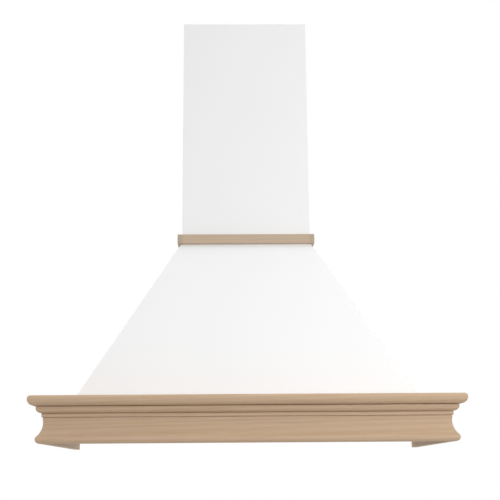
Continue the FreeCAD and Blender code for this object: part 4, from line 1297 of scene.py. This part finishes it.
@dataclass
class Spigot:
    """The duct spigot and its two non-return flaps, each with moulded ribs."""

    spigot_ease_mm: float = 0.5
    ease_mm: float = 0.3
    ribs: int = 5
    pitch_mm: float = 24.0
    half_mm: float = 0.6
    high_mm: float = 1.2
    sunk_mm: float = 0.3
    hinge_mm: float = 5.0
    rim_mm: float = 4.0
    plate_half_mm: float = 0.6

    def build(self) -> None:
        """Dress the spigot and rib the flaps."""
        dress_node("duct_spigot", BLACK_PLASTIC, self.spigot_ease_mm)
        for name, side in (("front", -1), ("rear", 1)):
            node = "flap_" + name
            plate = ease(finished(node + "_plate", welded(node)), self.ease_mm)
            ribs = bars(node + "_ribs", self.rib_bars(node, side), self.ease_mm)
            dress(joined(node + "_moulded", plate, ribs), BLACK_PLASTIC, node)

    def rib_bars(self, node: str, side: int) -> Iterable[tuple[Point, Point]]:
        """The ribs of a flap, from near its hinge to near its rim.

        Args:
            node: The flap's CAD node.
            side: 1 for the rear flap, -1 for the front one.

        Yields:
            The corners of each rib.
        """
        low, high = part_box(node)
        middle, plate_top = spot("duct_spigot"), spot(node).z + self.plate_half_mm * MM
        reach = high.y - middle.y if side > 0 else middle.y - low.y
        for index in range(self.ribs):
            x = (index - (self.ribs - 1) / 2) * self.pitch_mm * MM
            end = math.sqrt(max(reach ** 2 - x ** 2, 0.0)) - self.rim_mm * MM
            near, far = sorted((middle.y + side * self.hinge_mm * MM, middle.y + side * end))
            yield ((x - self.half_mm * MM, near, plate_top - self.sunk_mm * MM),
                   (x + self.half_mm * MM, far, plate_top + self.high_mm * MM))


@dataclass
class Filters:
    """Two grease filters: a folded aluminium frame round layers of expanded mesh, and a sliding latch."""

    border_mm: float = 22.0
    frame_ease_mm: float = 0.7
    seam_half_mm: float = 0.3
    seam_deep_mm: float = 0.35
    latch_ease_mm: float = 0.5
    grips: int = 3
    grip_first_mm: float = 2.5
    grip_pitch_mm: float = 3.2
    grip_half_mm: tuple[float, float] = (11.0, 0.6)
    grip_z_mm: tuple[float, float] = (1.5, 2.6)
    grip_ease_mm: float = 0.3
    long_way_mm: float = 10.0
    short_way_mm: float = 5.0
    strand_mm: float = 0.8
    layers: int = 3
    layer_shift: float = 0.6

    def build(self) -> None:
        """Dress the frames and latches and grow the mesh."""
        for name in SIDES:
            self.folded_frame(name)
            self.latch("filter_latch_" + name)
            self.mesh("filter_mesh_" + name)

    def folded_frame(self, name: str) -> None:
        """The frame with the seams of its mitred corners on the side that shows.

        Args:
            name: The side it is on.
        """
        node = "filter_frame_" + name
        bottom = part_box(node)[0].z
        low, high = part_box("filter_mesh_" + name)
        piece = finished(node + "_eased", welded(node))
        half, reach = self.seam_half_mm * MM, self.border_mm * MM * math.sqrt(2)
        for x, across in ((low.x, -1), (high.x, 1)):
            for y, along in ((low.y, -1), (high.y, 1)):
                way = Matrix.Rotation(math.atan2(along, across), 4, "Z")
                inner = Matrix.Translation((x, y, bottom)) @ way
                grooved(piece, (-MM, -half, -MM), (reach + MM, half, self.seam_deep_mm * MM), inner)
        dress(ease(piece, self.frame_ease_mm), ALUMINIUM, node)

    def latch(self, node: str) -> None:
        """A latch with grip ribs under its plate.

        Args:
            node: Its CAD node.
        """
        x, z = spot(node).x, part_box(node)[0].z
        wide, thick = self.grip_half_mm
        bottom, top = self.grip_z_mm
        rows = [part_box(node)[1].y - (self.grip_first_mm + self.grip_pitch_mm * index) * MM
                for index in range(self.grips)]
        grip = bars(node + "_grip", [((x - wide * MM, y - thick * MM, z + bottom * MM),
                                      (x + wide * MM, y + thick * MM, z + top * MM)) for y in rows],
                    self.grip_ease_mm)
        plate = ease(finished(node + "_plate", welded(node)), self.latch_ease_mm)
        dress(joined(node + "_moulded", plate, grip), BLACK_PLASTIC, node)

    def mesh(self, node: str) -> None:
        """Rows of zigzag strands that touch at their turns, in crossed layers.

        Args:
            node: The mesh's CAD node.
        """
        low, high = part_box(node)
        width, depth, height = high - low
        cells = int(width / (self.long_way_mm * MM))
        rows = int(depth / (self.short_way_mm * MM))
        layer = height / self.layers
        pattern = Pattern(node + "_expanded", {
            "Cells": 2 * cells + 1, "Rows": rows, "Half cell": width / (2 * cells), "Row pitch": depth / rows,
            "Swing": depth / rows / 2, "Strand": self.strand_mm * MM, "Layers": self.layers,
            "Layer pitch": layer, "Layer shift": depth / rows / 2 * self.layer_shift})
        given, add = pattern.given, pattern.add
        index = add("GeometryNodeInputIndex")[0]
        odd = add("Math", {0: index, 1: 2.0}, operation="MODULO")[0]
        # One strand: points along a line, each second one swung the other way, then centred.
        sign = add("Math", {0: odd, 1: 2.0, 2: -1.0}, operation="MULTIPLY_ADD")[0]
        swing = add("Math", {0: sign, 1: given["Swing"]}, operation="MULTIPLY")[0]
        steps = add("Math", {0: given["Cells"], 1: 1.0}, operation="SUBTRACT")[0]
        back = add("Math", {0: given["Half cell"], 1: steps}, operation="MULTIPLY")[0]
        back = add("Math", {0: back, 1: -0.5}, operation="MULTIPLY")[0]
        ahead, swing, back = [add("CombineXYZ", {side: value})[0] for side, value in
                              ((0, given["Half cell"]), (1, swing), (0, back))]
        strand = add("GeometryNodeMeshLine", {"Count": given["Cells"], "Offset": ahead})[0]
        strand = add("GeometryNodeSetPosition", {"Geometry": strand, "Offset": swing})[0]
        strand = add("GeometryNodeTransform", {"Geometry": strand, "Translation": back})[0]
        strand = add("GeometryNodeMeshToCurve", {0: strand})[0]
        section = add("GeometryNodeCurvePrimitiveQuadrilateral",
                      {"Width": given["Strand"], "Height": given["Strand"]})[0]
        strand = add("GeometryNodeCurveToMesh", {0: strand, 1: section, "Fill Caps": True})[0]
        # One sheet: a row of strands, each second one turned round to touch its neighbours.
        half_turn = add("Math", {0: odd, 1: math.pi}, operation="MULTIPLY")[0]
        slide = add("Math", {0: index, 1: given["Layer shift"]}, operation="MULTIPLY")[0]
        pitch, half_turn, rise, slide = [add("CombineXYZ", {side: value})[0] for side, value in
                                         ((1, given["Row pitch"]), (2, half_turn), (2, given["Layer pitch"]),
                                          (1, slide))]
        half_turn = add("FunctionNodeEulerToRotation", {0: half_turn})[0]
        stack = add("GeometryNodeMeshLine", {"Count": given["Rows"], "Offset": pitch})[0]
        sheet = add("GeometryNodeInstanceOnPoints", {"Points": stack, "Instance": strand,
                                                     "Rotation": half_turn})[0]
        # The layers, each slid a little across the one below.
        levels = add("GeometryNodeMeshLine", {"Count": given["Layers"], "Offset": rise})[0]
        levels = add("GeometryNodeSetPosition", {"Geometry": levels, "Offset": slide})[0]
        layered = add("GeometryNodeInstanceOnPoints", {"Points": levels, "Instance": sheet})[0]
        placed = add("GeometryNodeInstanceOnPoints", {"Points": given["Geometry"], "Instance": layered})[0]
        corner = Vector((spot(node).x, low.y + depth / rows / 2, low.z + layer / 2))
        dress(pattern.grow(placed, [corner], ALUMINIUM), ALUMINIUM, node)


@dataclass
class Lamps:
    """Two recessed lamps with a rolled flange and a prismatic opal lens."""

    rim: Profile = ((24.2, 0.6), (24.8, 0), (30.8, 0), (32, 0.9), (31.7, 1.9), (27.5, 2), (27.5, 7))
    fin: Profile = ((26.1, 0), (26.1, 1.8), (27.5, 2), (27.5, 3.8))
    fins: int = 4
    fins_from_mm: float = 8.0
    fin_pitch_mm: float = 4.0
    top: Profile = ((26.1, 1.5), (24.5, 0), (0, 0), (0, 1.5), (21, 1.5), (22.5, 4))
    seat: Profile = ((22.5, 3), (24.2, 3))
    prisms: int = 7
    prisms_mm: float = 22.0
    prism: Profile = ((0.5, 0.1), (1.0, 0.7))
    lens_middle: Profile = ((0, 0.5),)
    lens_edge: Profile = ((23.2, 0), (24, 0.6), (24, 3), (0, 3))
    segments: int = 96

    def build(self) -> None:
        """Turn the cans and the lenses."""
        for name in SIDES:
            node, lens = "lamp_can_" + name, "lamp_lens_" + name
            centre, height = spot(node, FOOT), size_mm(node).z
            fins = [(r, self.fins_from_mm + self.fin_pitch_mm * index + h)
                    for index in range(self.fins) for r, h in self.fin]
            top = [(r, height - h) for r, h in self.top]
            can = turned(node + "_turned", [*self.rim, *fins, *top, *self.seat], centre,
                         segments=self.segments)
            dress(can, LAMP_METAL, node)
            pitch = self.prisms_mm / self.prisms
            face = [(pitch * (index + share), h) for index in range(self.prisms) for share, h in self.prism]
            cover = turned(lens + "_turned", [*self.lens_middle, *face, *self.lens_edge], centre,
                           segments=self.segments)
            dress(cover, LAMP_LENS, lens)


@dataclass
class Controls:
    """A brushed bezel, the switch housing and five dished push buttons."""

    ease_mm: float = 0.6
    buttons: tuple[str, ...] = ("light", "off", "speed_1", "speed_2", "speed_3")
    cap: Profile = ((0, 0.7), (2.5, 0.55), (4.4, 0.15), (4.9, 0), (5.5, 0.1), (6, 0.7), (6, 6.2))
    collar_mm: tuple[float, float] = (6.3, 7.7)
    stem: Profile = ((3.2, 7.8), (3, 8.4))
    tip: Profile = ((3, 0.6), (2.4, 0), (0, 0))

    def build(self) -> None:
        """Dress the bezel and housing and turn the buttons."""
        dress_node("control_panel", STAINLESS, self.ease_mm, 3)
        dress_node("switch_housing", BLACK_PLASTIC, self.ease_mm)
        for name in self.buttons:
            node = "button_" + name
            wide, _, tall = size_mm(node)
            profile = [*self.cap, *((wide / 2, h) for h in self.collar_mm), *self.stem,
                       *((r, tall - h) for r, h in self.tip)]
            dress(turned(node + "_turned", profile, spot(node, FOOT), segments=48), BUTTON_PLASTIC, node)


@dataclass
class Terminal:
    """The terminal box, its lid with four screws, and the gland for the supply cable."""

    box_ease_mm: float = 0.9
    lid_ease_mm: float = 0.7
    screw_inset_mm: float = 6.0
    screw_long_mm: float = 6.0
    screw: Screw = Screw(head_mm=5.4, head_high_mm=1.3, shank_mm=2.4, recess_mm=1.7, recess_wide_mm=0.4,
                         recess_deep_mm=0.8, segments=32)
    nut: Profile = ((4.2, 0), (6.4, 0), (6.4, 4), (9, 4), (9, 7.5), (8, 8.2))
    dome: Profile = ((7.9, 7), (7.6, 3.5), (6.2, 0.6), (5.2, 0), (4.6, 0), (4.2, 0.5))
    ribs: int = 16
    rib_low_mm: tuple[float, ...] = (7.2, -0.7, 8.6)
    rib_high_mm: tuple[float, ...] = (8.7, 0.7, -4.5)
    rib_ease_mm: float = 0.35

    def build(self) -> None:
        """Dress the box, and turn the gland with a ribbed dome nut."""
        dress_node("terminal_box", BLACK_PLASTIC, self.box_ease_mm, 3)
        dress_node("terminal_lid", BLACK_PLASTIC, self.lid_ease_mm, 3)
        low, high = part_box("terminal_lid")
        inset = self.screw_inset_mm * MM
        corners = [Vector((low.x, y, z)) for y in (low.y + inset, high.y - inset)
                   for z in (low.z + inset, high.z - inset)]
        screws = repeated("terminal_lid_screws", self.screw.shape(self.screw_long_mm), corners, ZINC, Axis.X)
        dress(screws, ZINC)
        node = "cable_gland"
        centre, tall = spot(node, FOOT), size_mm(node).z
        body = turned("gland_body", [*self.nut, *((r, tall - h) for r, h in self.dome)], centre, segments=48)
        top = Vector(self.rib_high_mm) + tall * Axis.Z.unit()
        rib = bars("gland_rib", [(Vector(self.rib_low_mm) * MM, top * MM)], self.rib_ease_mm)
        ribs = repeated("gland_ribs", rib, [centre], BLACK_PLASTIC, Axis.Z, self.ribs)
        dress(joined(node + "_turned", body, ribs), BLACK_PLASTIC, node)


# ------------------------------------------------------------------ studio


def seen(add: Add) -> Socket:
    """Tell what the camera sees, straight, in gloss or through glass, from the light on the hood.

    Args:
        add: Adds a node to the tree.

    Returns:
        1 for what is seen and 0 for light.
    """
    rays = add("LightPath")
    level = rays["Is Camera Ray"]
    for ray in ("Is Glossy Ray", "Is Transmission Ray"):
        level = add("Math", {0: level, 1: rays[ray]}, operation="MAXIMUM")[0]
    return level


@dataclass
class SoftBox:
    """A large soft lamp aimed at the hood."""

    name: str
    place: tuple[float, float, float]
    size: float
    watts: float
    target: tuple[float, float, float] = (0.0, -0.2, 0.1)

    def build(self) -> None:
        """Place the lamp and aim it."""
        lamp = bpy.data.lights.new(self.name, "AREA")
        lamp.shape = "SQUARE"
        lamp.size = self.size
        lamp.energy = self.watts
        made = object_of(self.name, lamp)
        made.location = self.place
        made.rotation_euler = (Vector(self.target) - Vector(self.place)).to_track_quat("-Z", "Y").to_euler()


@dataclass
class Studio:
    """A pale floor well below the hood, white surroundings and soft lamps.

    The lamps at the wall's side of the hood light its flanks and back only.
    """

    floor_z: float = -1.88
    floor_half: float = 40.0
    floor_colour: str = "C6C6C6"
    floor_glow: float = 0.46
    sky_level: float = 0.2
    sky_rise: float = 1.1
    boxes: tuple[SoftBox, ...] = (
        SoftBox("right_softbox", (1.4, -2.15, 0.15), 1.2, 22.0),
        SoftBox("left_softbox", (-1.8, -3.4, 1.2), 2.4, 8.0),
        SoftBox("left_flank_softbox", (-2.3, 1.0, 1.5), 1.6, 12.0),
        SoftBox("rear_softbox", (0.6, 3.0, 0.9), 2.4, 19.0),
    )

    def build(self) -> None:
        """Floor, surroundings and lamps."""
        self.floor()
        self.surroundings()
        for box in self.boxes:
            box.build()

    def floor(self) -> None:
        """A floor that looks white where the light reaches it and keeps the hood's soft shadow."""
        half, z = self.floor_half, self.floor_z
        mesh = bpy.data.meshes.new("studio_floor")
        mesh.from_pydata([(-half, -half, z), (half, -half, z), (half, half, z), (-half, half, z)], [],
                         [(0, 1, 2, 3)])
        made = bpy.data.materials.new("studio_floor_paint")
        made.use_nodes = True
        tree = made.node_tree
        add = partial(add_node, tree)
        output = next(node for node in tree.nodes if node.type == "OUTPUT_MATERIAL")
        paint = next(node for node in tree.nodes if node.type == "BSDF_PRINCIPLED")
        for name, value in (("Base Color", linear(self.floor_colour)), ("Roughness", 1.0),
                            ("Specular IOR Level", 0.0)):
            paint.inputs[name].default_value = value
        level = add("Math", {0: seen(add), 1: self.floor_glow}, operation="MULTIPLY")[0]
        glow = add("Emission", {"Strength": level})[0]
        lit = add("AddShader", {0: paint.outputs[0], 1: glow})[0]
        # From below the floor isn't there, so that it hides nothing.
        under = add("NewGeometry")["Backfacing"]
        both = add("MixShader", {0: under, 1: lit, 2: add("BsdfTransparent")[0]})[0]
        tree.links.new(both, output.inputs["Surface"])
        mesh.materials.append(made)
        object_of("studio_floor", mesh)

    def surroundings(self) -> None:
        """White to the eye and in reflections; a plainer light, a little stronger from above, on the hood."""
        world = bpy.data.worlds.new("studio_surroundings")
        bpy.context.scene.world = world
        world.use_nodes = True
        world.node_tree.nodes.clear()
        add = partial(add_node, world.node_tree)
        up = add("SeparateXYZ", {0: add("TexCoord")["Generated"]})[2]
        up = add("Math", {0: up, 1: 0.0}, operation="MAXIMUM")[0]
        sky = add("Math", {0: up, 1: self.sky_rise, 2: self.sky_level}, operation="MULTIPLY_ADD")[0]
        level = add("Mix", {0: seen(add), 2: sky, 3: 1.0})[0]
        light = add("Background", {"Color": (1.0, 1.0, 1.0, 1.0), "Strength": level})[0]
        add("OutputWorld", {0: light})


@dataclass
class Camera:
    """The photograph's viewpoint: close to the wall's centre line, just below the hood, looking up."""

    place: tuple[float, float, float] = (-0.02513, -2.49307, -0.34928)
    pitch: float = 12.9743
    yaw: float = 0.8814
    roll: float = -0.4191
    lens: float = 70.545
    sensor: float = 36.0

    def build(self) -> None:
        """Make the scene's camera."""
        pitch, yaw, roll = (math.radians(angle) for angle in (self.pitch, self.yaw, self.roll))
        ahead = Vector((math.sin(yaw) * math.cos(pitch), math.cos(yaw) * math.cos(pitch), math.sin(pitch)))
        right = Vector((math.cos(yaw), -math.sin(yaw), 0.0))
        up = right.cross(ahead)
        tilted = right * math.cos(roll) + up * math.sin(roll)
        upright = -right * math.sin(roll) + up * math.cos(roll)
        data = bpy.data.cameras.new("photo_camera")
        data.lens = self.lens
        data.sensor_width = self.sensor
        made = object_of("photo_camera", data)
        turn = Matrix((tilted, upright, -ahead)).transposed().to_4x4()
        made.matrix_world = Matrix.Translation(self.place) @ turn
        bpy.context.scene.camera = made


def main() -> None:
    """Build the hood, then the studio."""
    logging.basicConfig(level=logging.INFO, format="%(name)s %(message)s")
    for part in (BaseFrame(), PaintedShell(), Collar(), Hanging(), LinerAndCase(), Blower(), Spigot(),
                 Filters(), Lamps(), Controls(), Terminal(), Studio(), Camera()):
        part.build()
    bpy.context.scene.view_settings.view_transform = "Standard"


if __name__ == "__main__":
    main()
